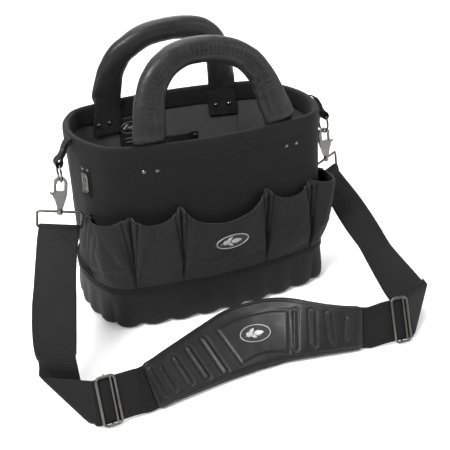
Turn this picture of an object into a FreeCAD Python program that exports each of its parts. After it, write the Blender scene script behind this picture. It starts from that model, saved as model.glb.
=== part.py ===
import FreeCAD, Part
import math
import os
from FreeCAD import Vector as V, Placement, Rotation

# Garden tool bag: oval open-top bag with two arch handles, five front and
# three back pockets, and a padded shoulder strap on two swivel hooks.
# Millimetres. Origin: centre of the base on the floor, +Z up, front = -Y.

doc = FreeCAD.newDocument("garden_tool_bag")
dims = doc.addObject("Spreadsheet::Sheet", "Dims")
ROWS = [
    ("rim_half_length", 163.6), ("rim_half_width", 111.1), ("rim_corner_x", 105.5), ("rim_corner_y", 52.2), ("rim_corner_rad", 43.6),
    ("base_half_length", 160.0), ("base_half_width", 97.0), ("base_corner_x", 116.8), ("base_corner_y", 52.3), ("base_corner_rad", 33.0),
    ("shell_bottom", 4.1), ("shell_top", 240.5), ("shell_wall", 2.2), ("lining_wall", 2.3),
    ("boot_seam", 60.0), ("boot_bulge", 5.2), ("boot_wall", 3.0), ("board_thick", 2.5), ("board_lift", 1.55),
    ("binding_depth", 24.0), ("binding_top", 242.0), ("binding_wall", 1.2), ("hem_band", 10.0),
    ("ring_rad", 12.0), ("ring_wire", 1.5), ("ring_offset", 183.0), ("ring_height", 201.0), ("ring_back", 21.0),
    ("rivet_rad", 3.2), ("rivet_len", 9.6), ("tab_width", 40.0), ("tab_bottom", 191.0), ("tab_top", 243.5), ("tab_thick", 3.0),
    ("grip_leg_half", 20.8), ("grip_crown_half", 15.8), ("grip_leg_depth", 6.5), ("grip_crown_depth", 13.7), ("core_part", 0.55),
    ("badge_half_len", 23.5), ("badge_half_high", 10.0), ("badge_thick", 1.4),
    ("hook_thick", 5.0), ("gate_thick", 2.4), ("gate_pin_rad", 0.9), ("pin_len", 5.0), ("gate_bore", 1.1),
    ("strap_width", 50.0), ("strap_thick", 2.0), ("bar_rad", 1.75), ("slide_plate", 3.0), ("clip_thick", 1.6), ("loop_width", 16.0),
]
for i, (alias, value) in enumerate(ROWS, 1):
    dims.set("A%d" % i, alias)
    dims.set("B%d" % i, str(value))
    dims.setAlias("B%d" % i, alias)
doc.recompute()
D = {alias: float(value) for alias, value in ROWS}
PARTS = []


def node(obj, label):
    obj.Label = label
    PARTS.append(obj)
    return obj


def feature(label, shape, keep=True):
    obj = doc.addObject("Part::Feature", label)
    obj.Shape = shape
    obj.Placement = Placement()
    return node(obj, label) if keep else obj


# ---- oval outline: eight tangent arcs --------------------------------------
def oval_size(z, off=0.0):
    f = max(0.0, min(1.0, z / 240.0))
    mix = lambda name: D["base_" + name] * (1 - f) + D["rim_" + name] * f
    return (mix("half_length") + off, mix("half_width") + off, mix("corner_x"), mix("corner_y"), mix("corner_rad") + off)


def oval_arcs(a, b, cx, cy, r):
    """Centres and radii: front/back arc, end arc, and the corner's two tangent directions."""
    rf = (cx * cx + (b - cy) ** 2 - r * r) / (2 * (b - cy - r))
    re = (cy * cy + (a - cx) ** 2 - r * r) / (2 * (a - cx - r))
    yf = b - rf
    xe = a - re
    df = math.atan2(cy - yf, cx)
    de = math.atan2(cy, cx - xe)
    return rf, yf, re, xe, df, de


def oval_geometry(a, b, cx, cy, r):
    rf, yf, re, xe, df, de = oval_arcs(a, b, cx, cy, r)
    pf = (cx + r * math.cos(df), cy + r * math.sin(df))
    pe = (cx + r * math.cos(de), cy + r * math.sin(de))
    mid = 0.5 * (df + de)
    pc = (cx + r * math.cos(mid), cy + r * math.sin(mid))
    P = lambda p, sx, sy: V(sx * p[0], sy * p[1], 0)
    seq = [
        (P(pf, -1, -1), V(0, -b, 0), P(pf, 1, -1)), (P(pf, 1, -1), P(pc, 1, -1), P(pe, 1, -1)),
        (P(pe, 1, -1), V(a, 0, 0), P(pe, 1, 1)), (P(pe, 1, 1), P(pc, 1, 1), P(pf, 1, 1)),
        (P(pf, 1, 1), V(0, b, 0), P(pf, -1, 1)), (P(pf, -1, 1), P(pc, -1, 1), P(pe, -1, 1)),
        (P(pe, -1, 1), V(-a, 0, 0), P(pe, -1, -1)), (P(pe, -1, -1), P(pc, -1, -1), P(pf, -1, -1)),
    ]
    return [Part.Arc(p, q, s) for p, q, s in seq]


def oval_sketch(name, size, height):
    """height: a number, or an expression on the sheet."""
    sk = doc.addObject("Sketcher::SketchObject", name)
    for arc in oval_geometry(*size):
        sk.addGeometry(arc, False)
    if isinstance(height, str):
        sk.setExpression("Placement.Base.z", height)
    else:
        sk.Placement = Placement(V(0, 0, height), Rotation())
    return sk


def loft(name, sections, ruled=True):
    obj = doc.addObject("Part::Loft", name)
    obj.Sections = sections
    obj.Solid = True
    obj.Ruled = ruled
    return obj


def tapered(name, low, high, off_low, off_high=None):
    """Oval loft between two heights (number, expression) with an offset from the shell's outside."""
    off_high = off_low if off_high is None else off_high
    s1 = oval_sketch(name + "_low", oval_size(low[0], off_low), low[1])
    s2 = oval_sketch(name + "_high", oval_size(high[0], off_high), high[1])
    return loft(name, [s1, s2])


def cut(label, base, tool, keep=True):
    obj = doc.addObject("Part::Cut", label)
    obj.Base = base
    obj.Tool = tool
    return node(obj, label) if keep else obj


def common(label, a, b, keep=True):
    obj = doc.addObject("Part::Common", label)
    obj.Base = a
    obj.Tool = b
    return node(obj, label) if keep else obj


def fuse(label, shapes, keep=True):
    obj = doc.addObject("Part::MultiFuse", label)
    obj.Shapes = shapes
    obj.Refine = False
    return node(obj, label) if keep else obj


def box(name, x0, x1, y0, y1, z0, z1):
    obj = doc.addObject("Part::Box", name)
    obj.Length, obj.Width, obj.Height = x1 - x0, y1 - y0, z1 - z0
    obj.Placement = Placement(V(x0, y0, z0), Rotation())
    return obj


def cylinder(name, radius, height, placement):
    obj = doc.addObject("Part::Cylinder", name)
    if isinstance(radius, str):
        obj.setExpression("Radius", radius)
    else:
        obj.Radius = radius
    if isinstance(height, str):
        obj.setExpression("Height", height)
    else:
        obj.Height = height
    obj.Placement = placement
    return obj


def group(label, shapes):
    obj = doc.addObject("Part::Compound", label)
    obj.Links = shapes
    return node(obj, label)


def along(axis, up=None):
    """Rotation that turns Z to axis (and Y near up)."""
    if up is None:
        return Rotation(V(0, 0, 1), axis)
    x = up.cross(axis)
    return Rotation(x, up, axis, "ZXY")


# ---- shell, lining, board, boot, binding -----------------------------------
BT, TP = D["shell_bottom"], D["shell_top"]
w1, w2 = D["shell_wall"], D["lining_wall"]
low, high = (BT, "Dims.shell_bottom"), (TP, "Dims.shell_top")
shell_out = tapered("shell_out", low, high, 0.0)
shell_in = tapered("shell_in", (BT, "Dims.shell_bottom"), (TP, "Dims.shell_top"), -w1)
cut("outer_shell", shell_out, shell_in)
lin_out = tapered("lining_out", low, high, -w1 - 0.05)
lin_in = tapered("lining_in", (BT + 1.5, "Dims.shell_bottom + 1.5"), (TP, "Dims.shell_top"), -w1 - w2)
cut("lining", lin_out, lin_in)

board = doc.addObject("PartDesign::Body", "board_body")
plane = [f for f in board.Origin.OriginFeatures if f.Role == "XY_Plane"][0]
bsk = board.newObject("Sketcher::SketchObject", "board_sketch")
bsk.AttachmentSupport = [(plane, "")]
bsk.MapMode = "FlatFace"
for arc in oval_geometry(*oval_size(0, -1.0)):
    bsk.addGeometry(arc, False)
bpad = board.newObject("PartDesign::Pad", "board_pad")
bpad.Profile = bsk
bpad.setExpression("Length", "Dims.board_thick")
board.setExpression("Placement.Base.z", "Dims.board_lift")
node(board, "bottom_board")

bulge = D["boot_bulge"]
seam = D["boot_seam"]
boot_sections = []
for k, (z, off) in enumerate(((0.0, 4.0), (7.0, 7.2), (22.0, 7.8), (44.0, 6.4), (seam, bulge))):
    boot_sections.append(oval_sketch("boot_s%d" % k, oval_size(z, off), z if k < 4 else "Dims.boot_seam"))
boot_out = loft("boot_out", boot_sections, ruled=True)
boot_in = loft("boot_in", [oval_sketch("boot_i0", oval_size(1.5, 0.05), 1.5), oval_sketch("boot_i1", oval_size(seam + 1, 0.05), seam + 1)])
cut("rubber_boot", boot_out, boot_in)
hem_out = tapered("boot_hem_out", (seam - 11, "Dims.boot_seam - Dims.hem_band - 1"), (seam, "Dims.boot_seam"), 7.4, 6.6)
hem_in = tapered("boot_hem_in", (seam - 11, "Dims.boot_seam - Dims.hem_band - 1"), (seam, "Dims.boot_seam"), 6.25, 5.45)
cut("boot_hem", hem_out, hem_in)

bw = D["binding_wall"]
top, bot = D["binding_top"], D["binding_top"] - D["binding_depth"]
low, high = (bot, "Dims.binding_top - Dims.binding_depth"), (top, "Dims.binding_top")
bind_out = tapered("bind_out", low, high, bw + 0.1)
bind_gap_o = tapered("bind_gap_o", (bot, "Dims.binding_top - Dims.binding_depth"), (TP + .05, "Dims.shell_top + 0.05"), 0.1)
bind_gap_i = tapered("bind_gap_i", (bot, "Dims.binding_top - Dims.binding_depth"), (TP + .05, "Dims.shell_top + 0.05"), -w1 - w2 - 0.1)
bind_hole = tapered("bind_hole", low, high, -w1 - w2 - 0.1 - bw)
bind_gap = cut("bind_gap", bind_gap_o, bind_gap_i, keep=False)
bind_solid = cut("bind_solid", bind_out, bind_hole, keep=False)
cut("rim_binding", bind_solid, bind_gap)


# ---- wall helper and sheet solids ------------------------------------------
def wall(x, y, z, off):
    """Point on the shell's outside at height z nearest to (x, y), moved outwards by off."""
    a, b, cx, cy, r = oval_size(z, off)
    rf, yf, re, xe, df, de = oval_arcs(a, b, cx, cy, r)
    sx, sy = (1 if x >= 0 else -1), (1 if y >= 0 else -1)
    px, py = abs(x), abs(y)
    ang = math.atan2(py - cy, px - cx)
    if px <= cx and math.atan2(py - yf, px) > df:
        t = math.atan2(py - yf, px)
        q = (rf * math.cos(t), yf + rf * math.sin(t))
    elif py <= cy and math.atan2(py, px - xe) < de:
        t = math.atan2(py, px - xe)
        q = (xe + re * math.cos(t), re * math.sin(t))
    else:
        t = min(max(ang, de), df)
        if ang > df:
            t = math.atan2(py - yf, px)
            q = (rf * math.cos(t), yf + rf * math.sin(t))
        elif ang < de:
            t = math.atan2(py, px - xe)
            q = (xe + re * math.cos(t), re * math.sin(t))
        else:
            q = (cx + r * math.cos(t), cy + r * math.sin(t))
    return V(sx * q[0], sy * q[1], z)


def sheet_solid(outer, inner):
    """Closed solid between two grids of points with the same rows and columns."""
    n, m = len(outer), len(outer[0])
    pts = [p for row in outer for p in row] + [p for row in inner for p in row]
    N = n * m
    I = lambda i, j: i * m + j
    tri = []
    for i in range(n - 1):
        for j in range(m - 1):
            a, b, c, d = I(i, j), I(i + 1, j), I(i + 1, j + 1), I(i, j + 1)
            tri += [(a, b, c), (a, c, d), (N + a, N + c, N + b), (N + a, N + d, N + c)]
    for i in range(n - 1):
        for j, flip in ((0, False), (m - 1, True)):
            a, b = I(i, j), I(i + 1, j)
            q = [(a, N + b, b), (a, N + a, N + b)]
            tri += [(x, z, y) for x, y, z in q] if flip else q
    for j in range(m - 1):
        for i, flip in ((0, True), (n - 1, False)):
            a, b = I(i, j), I(i, j + 1)
            q = [(a, N + b, b), (a, N + a, N + b)]
            tri += [(x, z, y) for x, y, z in q] if flip else q
    shell = Part.Shape()
    shell.makeShapeFromMesh((pts, tri), 0.0005)
    solid = Part.makeSolid(Part.makeShell(shell.Faces))
    if solid.Volume < 0:
        solid.reverse()
    return solid


# ---- pockets ----------------------------------------------------------------
# hem stations (x, y, z) of each pocket's outside, left to right
POCKETS = {
    "pocket_end_left": [(-159.5, -47, 150), (-161.3, -62, 149), (-161.0, -78, 150), (-156, -93, 152), (-147, -102, 154), (-136, -106, 157.5), (-125, -108, 160)],
    "pocket_left": [(-123.6, -108.3, 160), (-116, -112.5, 154), (-106, -113.5, 149.5), (-96, -113, 148), (-85, -113, 149), (-74, -113.5, 154), (-63.8, -114, 163)],
    "pocket_centre": [(-62.6, -114, 163), (-50, -117.5, 148), (-36, -119, 140), (-20, -119.5, 136), (-5, -119.5, 134.5), (12, -119, 137), (28, -118, 143), (40, -116, 151), (51.4, -112.5, 163)],
    "pocket_right": [(52.6, -112.3, 163), (60, -113.5, 155), (70, -113, 149), (84, -110, 145), (97, -106.5, 145), (109, -101.2, 147.5), (120.2, -94.6, 154)],
    "pocket_end_right": [(121.6, -94.0, 155), (130, -94.5, 152), (140, -96.5, 150), (150, -97, 149), (158, -90, 148), (161, -77, 149), (160.5, -62, 150), (158, -47, 150)],
}
ROWS_V = [0.0, 0.2, 0.45, 0.75, 1.0]


def pocket_grids(stations, thick, z0=60.4, foot=3.0):
    outer, inner = [], []
    for f in ROWS_V:
        ro, ri = [], []
        for x, y, zh in stations:
            base = wall(x, y, zh, 0)
            lift = math.hypot(x - base.x, y - base.y)
            z = z0 + (zh - z0) * f
            off = foot + (lift - foot) * f ** 0.8
            ro.append(wall(x, y, z, off))
            ri.append(wall(x, y, z, off - thick))
        outer.append(ro)
        inner.append(ri)
    return outer, inner


def hem_grids(stations, thick=1.1, depth=8.0):
    outer, inner = pocket_grids(stations, 0)
    oo, ii = [], []
    for g in (1.0, 0.0):
        ro, ri = [], []
        for k, (x, y, zh) in enumerate(stations):
            hi, lo_ = outer[-1][k], outer[-2][k]
            p = hi + (lo_ - hi) * (g * depth / (hi - lo_).Length)
            base = wall(p.x, p.y, p.z, 0)
            n = V(p.x - base.x, p.y - base.y, 0)
            n.normalize()
            ri.append(p + n * 0.4)
            ro.append(p + n * (0.4 + thick))
        oo.append(ro)
        ii.append(ri)
    return oo, ii


hems = []
for label, stations in POCKETS.items():
    o, i_ = pocket_grids(stations, 2.0)
    feature(label, sheet_solid(o, i_))
    o, i_ = hem_grids(stations)
    feature(label.replace("pocket", "hem"), sheet_solid(o, i_))
BACK = {"back_pocket_left": [(-118, 108, 160), (-106, 114, 157), (-88, 116.5, 155), (-70, 117.5, 156), (-60.6, 117, 158)],
        "back_pocket_centre": [(-59.4, 117, 158), (-35, 120, 154), (0, 121, 152), (35, 120, 154), (59.4, 117, 158)],
        "back_pocket_right": [(60.6, 117, 158), (70, 117.5, 156), (88, 116.5, 155), (106, 114, 157), (118, 108, 160)]}
for label, stations in BACK.items():
    o, i_ = pocket_grids(stations, 2.0)
    feature(label, sheet_solid(o, i_))

# ---- front badge ------------------------------------------------------------
bo, bi = pocket_grids(POCKETS["pocket_centre"], 2.0)
low_p, high_p = bo[2][4], bo[3][4]
slope = math.degrees(math.atan2(low_p.y - high_p.y, high_p.z - low_p.z))
ell = doc.addObject("Part::Ellipse", "badge_outline")
ell.setExpression("MajorRadius", "Dims.badge_half_len")
ell.setExpression("MinorRadius", "Dims.badge_half_high")
mid_p = low_p + (high_p - low_p) * ((109.0 - low_p.z) / (high_p.z - low_p.z))
ell.Placement = Placement(V(-1.0, mid_p.y - 1.6, 109.0), Rotation(V(1, 0, 0), 90 + slope))
badge = doc.addObject("Part::Extrusion", "front_badge")
badge.Base = ell
badge.DirMode = "Normal"
badge.Solid = True
badge.setExpression("LengthFwd", "Dims.badge_thick")
node(badge, "front_badge")

# ---- inside: pocket, tool loop, label ---------------------------------------
in0 = -w1 - w2
def band(name, z0, z1, o1, o2):
    return cut(name, tapered(name + "_o", (z0, z0), (z1, z1), o1), tapered(name + "_i", (z0, z0), (z1, z1), o2), keep=False)


pk_all = common("pk_all", band("pk_band", 40, 164, in0 - 0.1, in0 - 8.4), box("pk_box", -46, 107, 0, 130, 30, 164), keep=False)
pk_gap = common("pk_gap", band("pk_gapband", 43, 165, in0 + 1.0, in0 - 7.0), box("pk_gapbox", -43, 104, 0, 130, 43, 165), keep=False)
cut("inner_pocket", pk_all, pk_gap)
lp_all = common("lp_all", band("lp_band", 167, 179, in0 - 0.1, in0 - 7.0), box("lp_box", -12, 44, 0, 130, 166, 180), keep=False)
lp_gap = common("lp_gap", band("lp_gapband", 165, 181, in0 + 1.0, in0 - 5.4), box("lp_gapbox", -3, 35, 0, 130, 165, 181), keep=False)
cut("inner_tool_loop", lp_all, lp_gap)
common("inner_label", band("lb_band", 172, 214, in0 - 0.1, in0 - 1.0), box("lb_box", -74, -42, 0, 130, 172, 214))


def wall_pin(name, x, y, z, off, radius, length):
    """Pin whose outer end stands at off outside the wall, pointing into the wall."""
    p = wall(x, y, z, off)
    q = wall(x, y, z, off - 10)
    d = q - p
    return cylinder(name, radius, length, Placement(p, Rotation(V(0, 0, 1), d)))


rv = [wall_pin("loop_rivet_%d" % k, x, 105, z, o_, 3.0, 0.01) for k, (x, z, o_) in enumerate(((-7.5, 173, in0 - 8.8), (39.5, 173, in0 - 8.8), (28.5, 158.5, in0 - 10.2)))]
for r_ in rv:
    d = r_.Placement.Rotation.multVec(V(0, 0, 1))
    r_.Height = 1.6
group("loop_rivets", rv)

# ---- handle tabs and rivets -------------------------------------------------
th = D["tab_thick"]
for side, s in (("front", -1), ("rear", 1)):
    zone = band(side + "_tab_band", D["tab_bottom"] + (7.5 if s > 0 else 0), D["tab_top"], in0 - bw - 0.2, in0 - bw - 0.2 - th)
    pair = []
    for k, xc in enumerate((-94.0 if s > 0 else -89.0, 85.0)):
        b_ = box("%s_tab_box%d" % (side, k), xc - 22, xc + 22, -130 if s < 0 else 0, 0 if s < 0 else 130, 185, 250)
        pair.append(common("%s_tab_%d" % (side, k), zone, b_, keep=False))
    group(side + "_handle_tabs", pair)
    pins = []
    for k, xx in enumerate((-101.1, -84.9, 84.9, 101.1) if s < 0 else (-106.5, -89.5, 74.0, 95.0)):
        pins.append(wall_pin("%s_rivet_%d" % (side, k), xx, s * 110, 211.7 if s < 0 else 214.0, 0.6, "Dims.rivet_rad", 0.5))
    for p_ in pins:
        d = p_.Placement.Rotation.multVec(V(0, 0, 1))
        p_.Placement = Placement(p_.Placement.Base - d * 1.6, p_.Placement.Rotation)
        p_.Height = 1.8
    group(side + "_rivets", pins)

# ---- handles ----------------------------------------------------------------
FRONT = [(-89, -95.0, 247.5, 0.0), (-86, -92, 268, 0.2), (-81.5, -86.5, 292, 0.5), (-72, -82, 312.5, 0.7), (-55, -78.5, 329.4, 0.9), (-32, -76.2, 337.6, 1),
         (-4, -75.5, 338.5, 1), (30, -77.5, 329.6, 1), (51, -80.5, 314.3, 0.9), (62, -84, 296.5, 0.7), (71, -89, 272, 0.3), (78.5, -94.5, 247.5, 0.0)]
REAR = [(-86.5, 94.6, 247.5, 0.0), (-83, 92, 266, 0.2), (-77.5, 86.5, 288, 0.5), (-67, 82, 306, 0.7), (-52, 79, 318.6, 0.9), (-34, 77, 328.3, 1),
        (-6, 75.5, 334.0, 1), (25, 75.5, 334, 1), (49, 77.5, 327.7, 1), (65, 80.5, 314.2, 0.9), (74, 85, 294, 0.6), (79, 90, 270, 0.3), (83, 95, 247.5, 0.0)]


def arch(name, stations, part, tail=0.0):
    sections = []
    n = len(stations)
    pts = [V(x, y, z) for x, y, z, f in stations]
    for i, (x, y, z, f) in enumerate(stations):
        t = pts[min(i + 1, n - 1)] - pts[max(i - 1, 0)]
        if i in (0, n - 1):
            t = V(0, 0, 1 if i == 0 else -1) + (pts[1] - pts[0] if i == 0 else pts[-1] - pts[-2]).normalize() * 0.4
        t.normalize()
        lean = V(0, (1 if y < 0 else -1) * 0.19, 1)
        plane_n = V(1, 0, 0).cross(lean)
        plane_n.normalize()
        major = t.cross(plane_n)
        major.normalize()
        e = doc.addObject("Part::Ellipse", "%s_s%02d" % (name, i))
        e.setExpression("MajorRadius", "(Dims.grip_leg_half * %g + Dims.grip_crown_half * %g) * %s" % (1 - f, f, part))
        e.setExpression("MinorRadius", "(Dims.grip_leg_depth * %g + Dims.grip_crown_depth * %g) * %s" % (1 - f, f, part))
        e.Placement = Placement(pts[i], Rotation(major, V(0, 0, 0), t, "ZXY"))
        sections.append(e)
    return loft(name, sections, ruled=False)


for side, st in (("front", FRONT), ("rear", REAR)):
    outer = arch(side + "_grip_out", st, "1")
    inner = arch(side + "_grip_in", st, "Dims.core_part")
    cut(side + "_grip", outer, inner)
    core = arch(side + "_core", st, "(Dims.core_part - 0.03)")
    node(core, side + "_core")

# ---- rings and ring tabs ----------------------------------------------------
RY, RZ, RX = -D["ring_back"], D["ring_height"], D["ring_offset"]
for side, s in (("left", -1), ("right", 1)):
    ring = doc.addObject("Part::Torus", side + "_ring")
    ring.setExpression("Radius1", "Dims.ring_rad")
    ring.setExpression("Radius2", "Dims.ring_wire")
    ring.Placement = Placement(V(s * RX, RY, RZ), Rotation(V(0, 1, 0), 90))
    node(ring, side + "_ring")
    xw = wall(s * 170, RY, 240, 0).x
    xw2 = abs(wall(s * 170, -12, 224, D["binding_wall"] + 0.6).x)
    xt = abs(wall(s * 170, -12, 242, D["binding_wall"] + 0.6).x)
    prof = [(xt, 241.5), (xt + 3.2, 241.5), (RX - 1.5, 220.5), (RX + 3.9, 215.5), (RX + 4.1, 212.0), (RX + 2.5, 208.9), (RX - 2.5, 208.9), (RX - 4.0, 212.5), (xw2 + 5.0, 222.0), (xw2 + 0.1, 222.0)]
    pts = [V(s * x, RY - D["loop_width"] / 2, z) for x, z in prof]
    face = Part.Face(Part.makePolygon(pts + [pts[0]]))
    blank = feature(side + "_tab_blank", face.extrude(V(0, D["loop_width"], 0)), keep=False)
    gap = doc.addObject("Part::Torus", side + "_ring_gap")
    gap.setExpression("Radius1", "Dims.ring_rad")
    gap.setExpression("Radius2", "Dims.ring_wire + 0.4")
    gap.Placement = Placement(V(s * RX, RY, RZ), Rotation(V(0, 1, 0), 90))
    cut(side + "_ring_tab", blank, gap)
    tr = []
    for k, yy in enumerate((-26.0, -16.0)):
        da, db = V(xt + 3.2, 0, 241.5), V(RX - 1.5, 0, 220.5)
        m3 = da + (db - da) * 0.55
        n3 = V(-(db - da).z, 0, (db - da).x)
        n3.normalize()
        m3 = m3 + n3 * 0.15
        tr.append(cylinder("%s_tab_rivet_%d" % (side, k), 2.2, 1.2, Placement(V(s * m3.x, yy, m3.z), Rotation(V(0, 0, 1), V(s * n3.x, 0, n3.z)))))
    group(side + "_tab_rivets", tr)

# ---- hooks ------------------------------------------------------------------
HL, HR = V(-0.17050, -0.07020, -0.98285), V(0.07955, -0.06961, -0.99440)
BARL, BARR = V(0.94969, -0.27763, -0.14491), V(0.84666, 0.53125, 0.03055)
PL, PR = V(-192.974, -25.977, 131.033), V(187.654, -25.942, 130.358)


def hook_frame(s):
    h = V(HL) if s < 0 else V(HR)
    up = h * -1
    up.normalize()
    ex = V(0, 1, 0).cross(up)
    ex.normalize()
    ey = up.cross(ex)
    origin = V(s * RX, RY - 0.87, RZ - 12.47 + 0.5)
    return Placement(origin, Rotation(ex, ey, up, "ZXY")), ex, ey, up


def pd_pad(label, geometry, length, placement, keep=True):
    """PartDesign body: profile in the body's XZ plane, padded both ways along Y."""
    body = doc.addObject("PartDesign::Body", label + "_body")
    role = [f for f in body.Origin.OriginFeatures if f.Role == "XZ_Plane"][0]
    sk = body.newObject("Sketcher::SketchObject", label + "_sketch")
    sk.AttachmentSupport = [(role, "")]
    sk.MapMode = "FlatFace"
    for g in geometry:
        sk.addGeometry(g, False)
    pad = body.newObject("PartDesign::Pad", label + "_pad")
    pad.Profile = sk
    pad.setExpression("Length", length)
    pad.Midplane = True
    body.Placement = placement
    return (node(body, label) if keep else body)


def poly(points):
    pts = [V(x, z, 0) for x, z in points]
    return [Part.LineSegment(pts[i], pts[(i + 1) % len(pts)]) for i in range(len(pts))]


def arc_pts(cx, cz, r, a0, a1, n):
    return [(cx + r * math.cos(math.radians(a0 + (a1 - a0) * k / n)), cz + r * math.sin(math.radians(a0 + (a1 - a0) * k / n))) for k in range(n + 1)]


for side, s in (("left", -1), ("right", 1)):
    frame, ex, ey, up = hook_frame(s)
    m_ = s  # gate on the outer side: mirror X for the right hook
    outline = arc_pts(0, -2.6, 8.5, 180, 0, 14) + [(8.5, -13.5), (7.6, -19.5), (4.2, -31.5), (3.6, -34.2), (-3.6, -34.2), (-4.2, -31.5), (-7.6, -20.4), (-4.0, -20.4), (-4.0, -12.6)]
    slot = [(4.5, -12.0)] + arc_pts(0, -2.2, 4.5, 0, 180, 10)
    ring_path = outline + [(-4.0, -12.0), (4.5, -12.0)] + arc_pts(0, -2.2, 4.5, 0, 180, 10) + [(-5.6, -2.2)]
    flip = lambda pts: [(-s * x, z) for x, z in pts]
    # outline runs from the claw's tip, over the arch, down the back limb and the shank,
    # up the gate side to the slot's floor, then round the inside of the claw to the tip
    claw = pd_pad(side + "_claw", poly(flip(ring_path[:15] + outline[15:] + [(-4.0, -12.0), (4.5, -12.0)] + arc_pts(0, -2.2, 4.5, 0, 180, 10) + [(-4.5, -2.6)])), "Dims.hook_thick", frame, keep=False)
    cheek = pd_pad(side + "_cheek", poly(flip([(-3.0, -12.8), (-8.3, -13.2), (-8.6, -16.5), (-8.3, -21.5), (-3.0, -22.5)])), "Dims.hook_thick", frame, keep=False)
    slotb = pd_pad(side + "_gate_slot", poly(flip([(-3.9, -12.9), (-9.5, -12.9), (-9.5, -20.2), (-3.9, -20.2)])), "Dims.gate_thick + 0.4", frame, keep=False)
    pinhole = cylinder(side + "_pin_hole", "Dims.gate_pin_rad", "Dims.hook_thick + 2", frame.multiply(Placement(V(s * 6.3, -3.5, -16.5), Rotation(V(1, 0, 0), -90))))
    bore = cylinder(side + "_stud_bore", 1.8, 7.5, frame.multiply(Placement(V(0, 0, -35), Rotation())))
    solid = fuse(side + "_hook_raw", [claw, cheek], keep=False)
    c1 = cut(side + "_hook_c1", solid, slotb, keep=False)
    c2 = cut(side + "_hook_c2", c1, pinhole, keep=False)
    cut(side + "_hook", c2, bore)
    pin = cylinder(side + "_gate_pin", "Dims.gate_pin_rad", "Dims.pin_len", frame.multiply(Placement(V(s * 6.3, -2.5, -16.5), Rotation(V(1, 0, 0), -90))))
    node(pin, side + "_gate_pin")
    gate_poly = [(-8.0, -3.0), (-7.6, -2.95), (-5.3, -2.95), (-5.0, -4.5), (-4.9, -14.2), (-4.35, -16.0), (-4.6, -17.9), (-6.2, -18.7), (-8.2, -18.3), (-12.6, -15.4), (-13.4, -13.6), (-12.4, -12.9), (-8.4, -14.2), (-8.1, -12.0), (-8.3, -6.0)]
    gate_raw = pd_pad(side + "_gate_raw", poly(flip(gate_poly)), "Dims.gate_thick", frame, keep=False)
    gbore = cylinder(side + "_gate_bore", "Dims.gate_bore", 8, frame.multiply(Placement(V(s * 6.3, -4, -16.5), Rotation(V(1, 0, 0), -90))))
    cut(side + "_gate", gate_raw, gbore)
    # swivel stud and rectangular strap ring
    P, w = (PL, BARL) if s < 0 else (PR, BARR)
    w = V(w)
    w = w - up * w.dot(up)
    w.normalize()
    nrm = up.cross(w)
    rf = Placement(P, Rotation(w, nrm, up, "ZXY"))
    br = D["bar_rad"]
    hw, hh, cr = 27.3, 20.5, 3.0
    path = [(-hw + cr, 0), (hw - cr, 0), (hw, cr), (hw, hh - cr), (hw - cr, hh), (-hw + cr, hh), (-hw, hh - cr), (-hw, cr)]
    P3 = lambda x, z: V(x, 0, z)
    c45 = cr * (1 - math.cos(math.radians(45)))
    edges = []
    def mid(cx, cz, ang):
        return P3(cx + cr * math.cos(math.radians(ang)), cz + cr * math.sin(math.radians(ang)))
    edges.append(Part.LineSegment(P3(-hw + cr, 0), P3(hw - cr, 0)).toShape())
    edges.append(Part.Arc(P3(hw - cr, 0), mid(hw - cr, cr, -45), P3(hw, cr)).toShape())
    edges.append(Part.LineSegment(P3(hw, cr), P3(hw, hh - cr)).toShape())
    edges.append(Part.Arc(P3(hw, hh - cr), mid(hw - cr, hh - cr, 45), P3(hw - cr, hh)).toShape())
    edges.append(Part.LineSegment(P3(hw - cr, hh), P3(-hw + cr, hh)).toShape())
    edges.append(Part.Arc(P3(-hw + cr, hh), mid(-hw + cr, hh - cr, 135), P3(-hw, hh - cr)).toShape())
    edges.append(Part.LineSegment(P3(-hw, hh - cr), P3(-hw, cr)).toShape())
    edges.append(Part.Arc(P3(-hw, cr), mid(-hw + cr, cr, 225), P3(-hw + cr, 0)).toShape())
    wire = Part.Wire(edges)
    spine = doc.addObject("Part::Feature", side + "_bar_path")
    spine.Shape = wire
    spine.Placement = rf
    prof = doc.addObject("Part::Circle", side + "_bar_profile")
    prof.setExpression("Radius", "Dims.bar_rad")
    prof.Placement = rf.multiply(Placement(V(0, 0, 0), Rotation(V(0, 1, 0), 90)))
    ring = doc.addObject("Part::Feature", side + "_strap_ring")
    circ = Part.Wire(Part.makeCircle(br, V(0, 0, 0), V(1, 0, 0)))
    ring.Shape = wire.makePipeShell([circ], True, False)
    ring.Placement = rf
    node(ring, side + "_strap_ring")
    doc.removeObject(spine.Name)
    doc.removeObject(prof.Name)
    # stud: eye round the top bar and a pin up into the hook
    top_c = P + up * hh
    off = (top_c - frame.Base).dot(up)
    base_pt = frame.Base + up * off
    eye = cylinder(side + "_eye", 3.6, 7.0, Placement(frame.Base + up * (off - 3.4), Rotation(ex, ey, up, "ZXY")))
    stem_len = -29.0 - (off + 3.4)
    stem = cylinder(side + "_stem", 1.4, stem_len, Placement(frame.Base + up * (off + 3.4), Rotation(ex, ey, up, "ZXY")))
    neck = fuse(side + "_stud_raw", [eye, stem], keep=False)
    hole = cylinder(side + "_eye_hole", 1.95, 30, Placement(top_c - w * 15, Rotation(V(0, 0, 1), w)))
    cut(side + "_swivel_stud", neck, hole)

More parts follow.
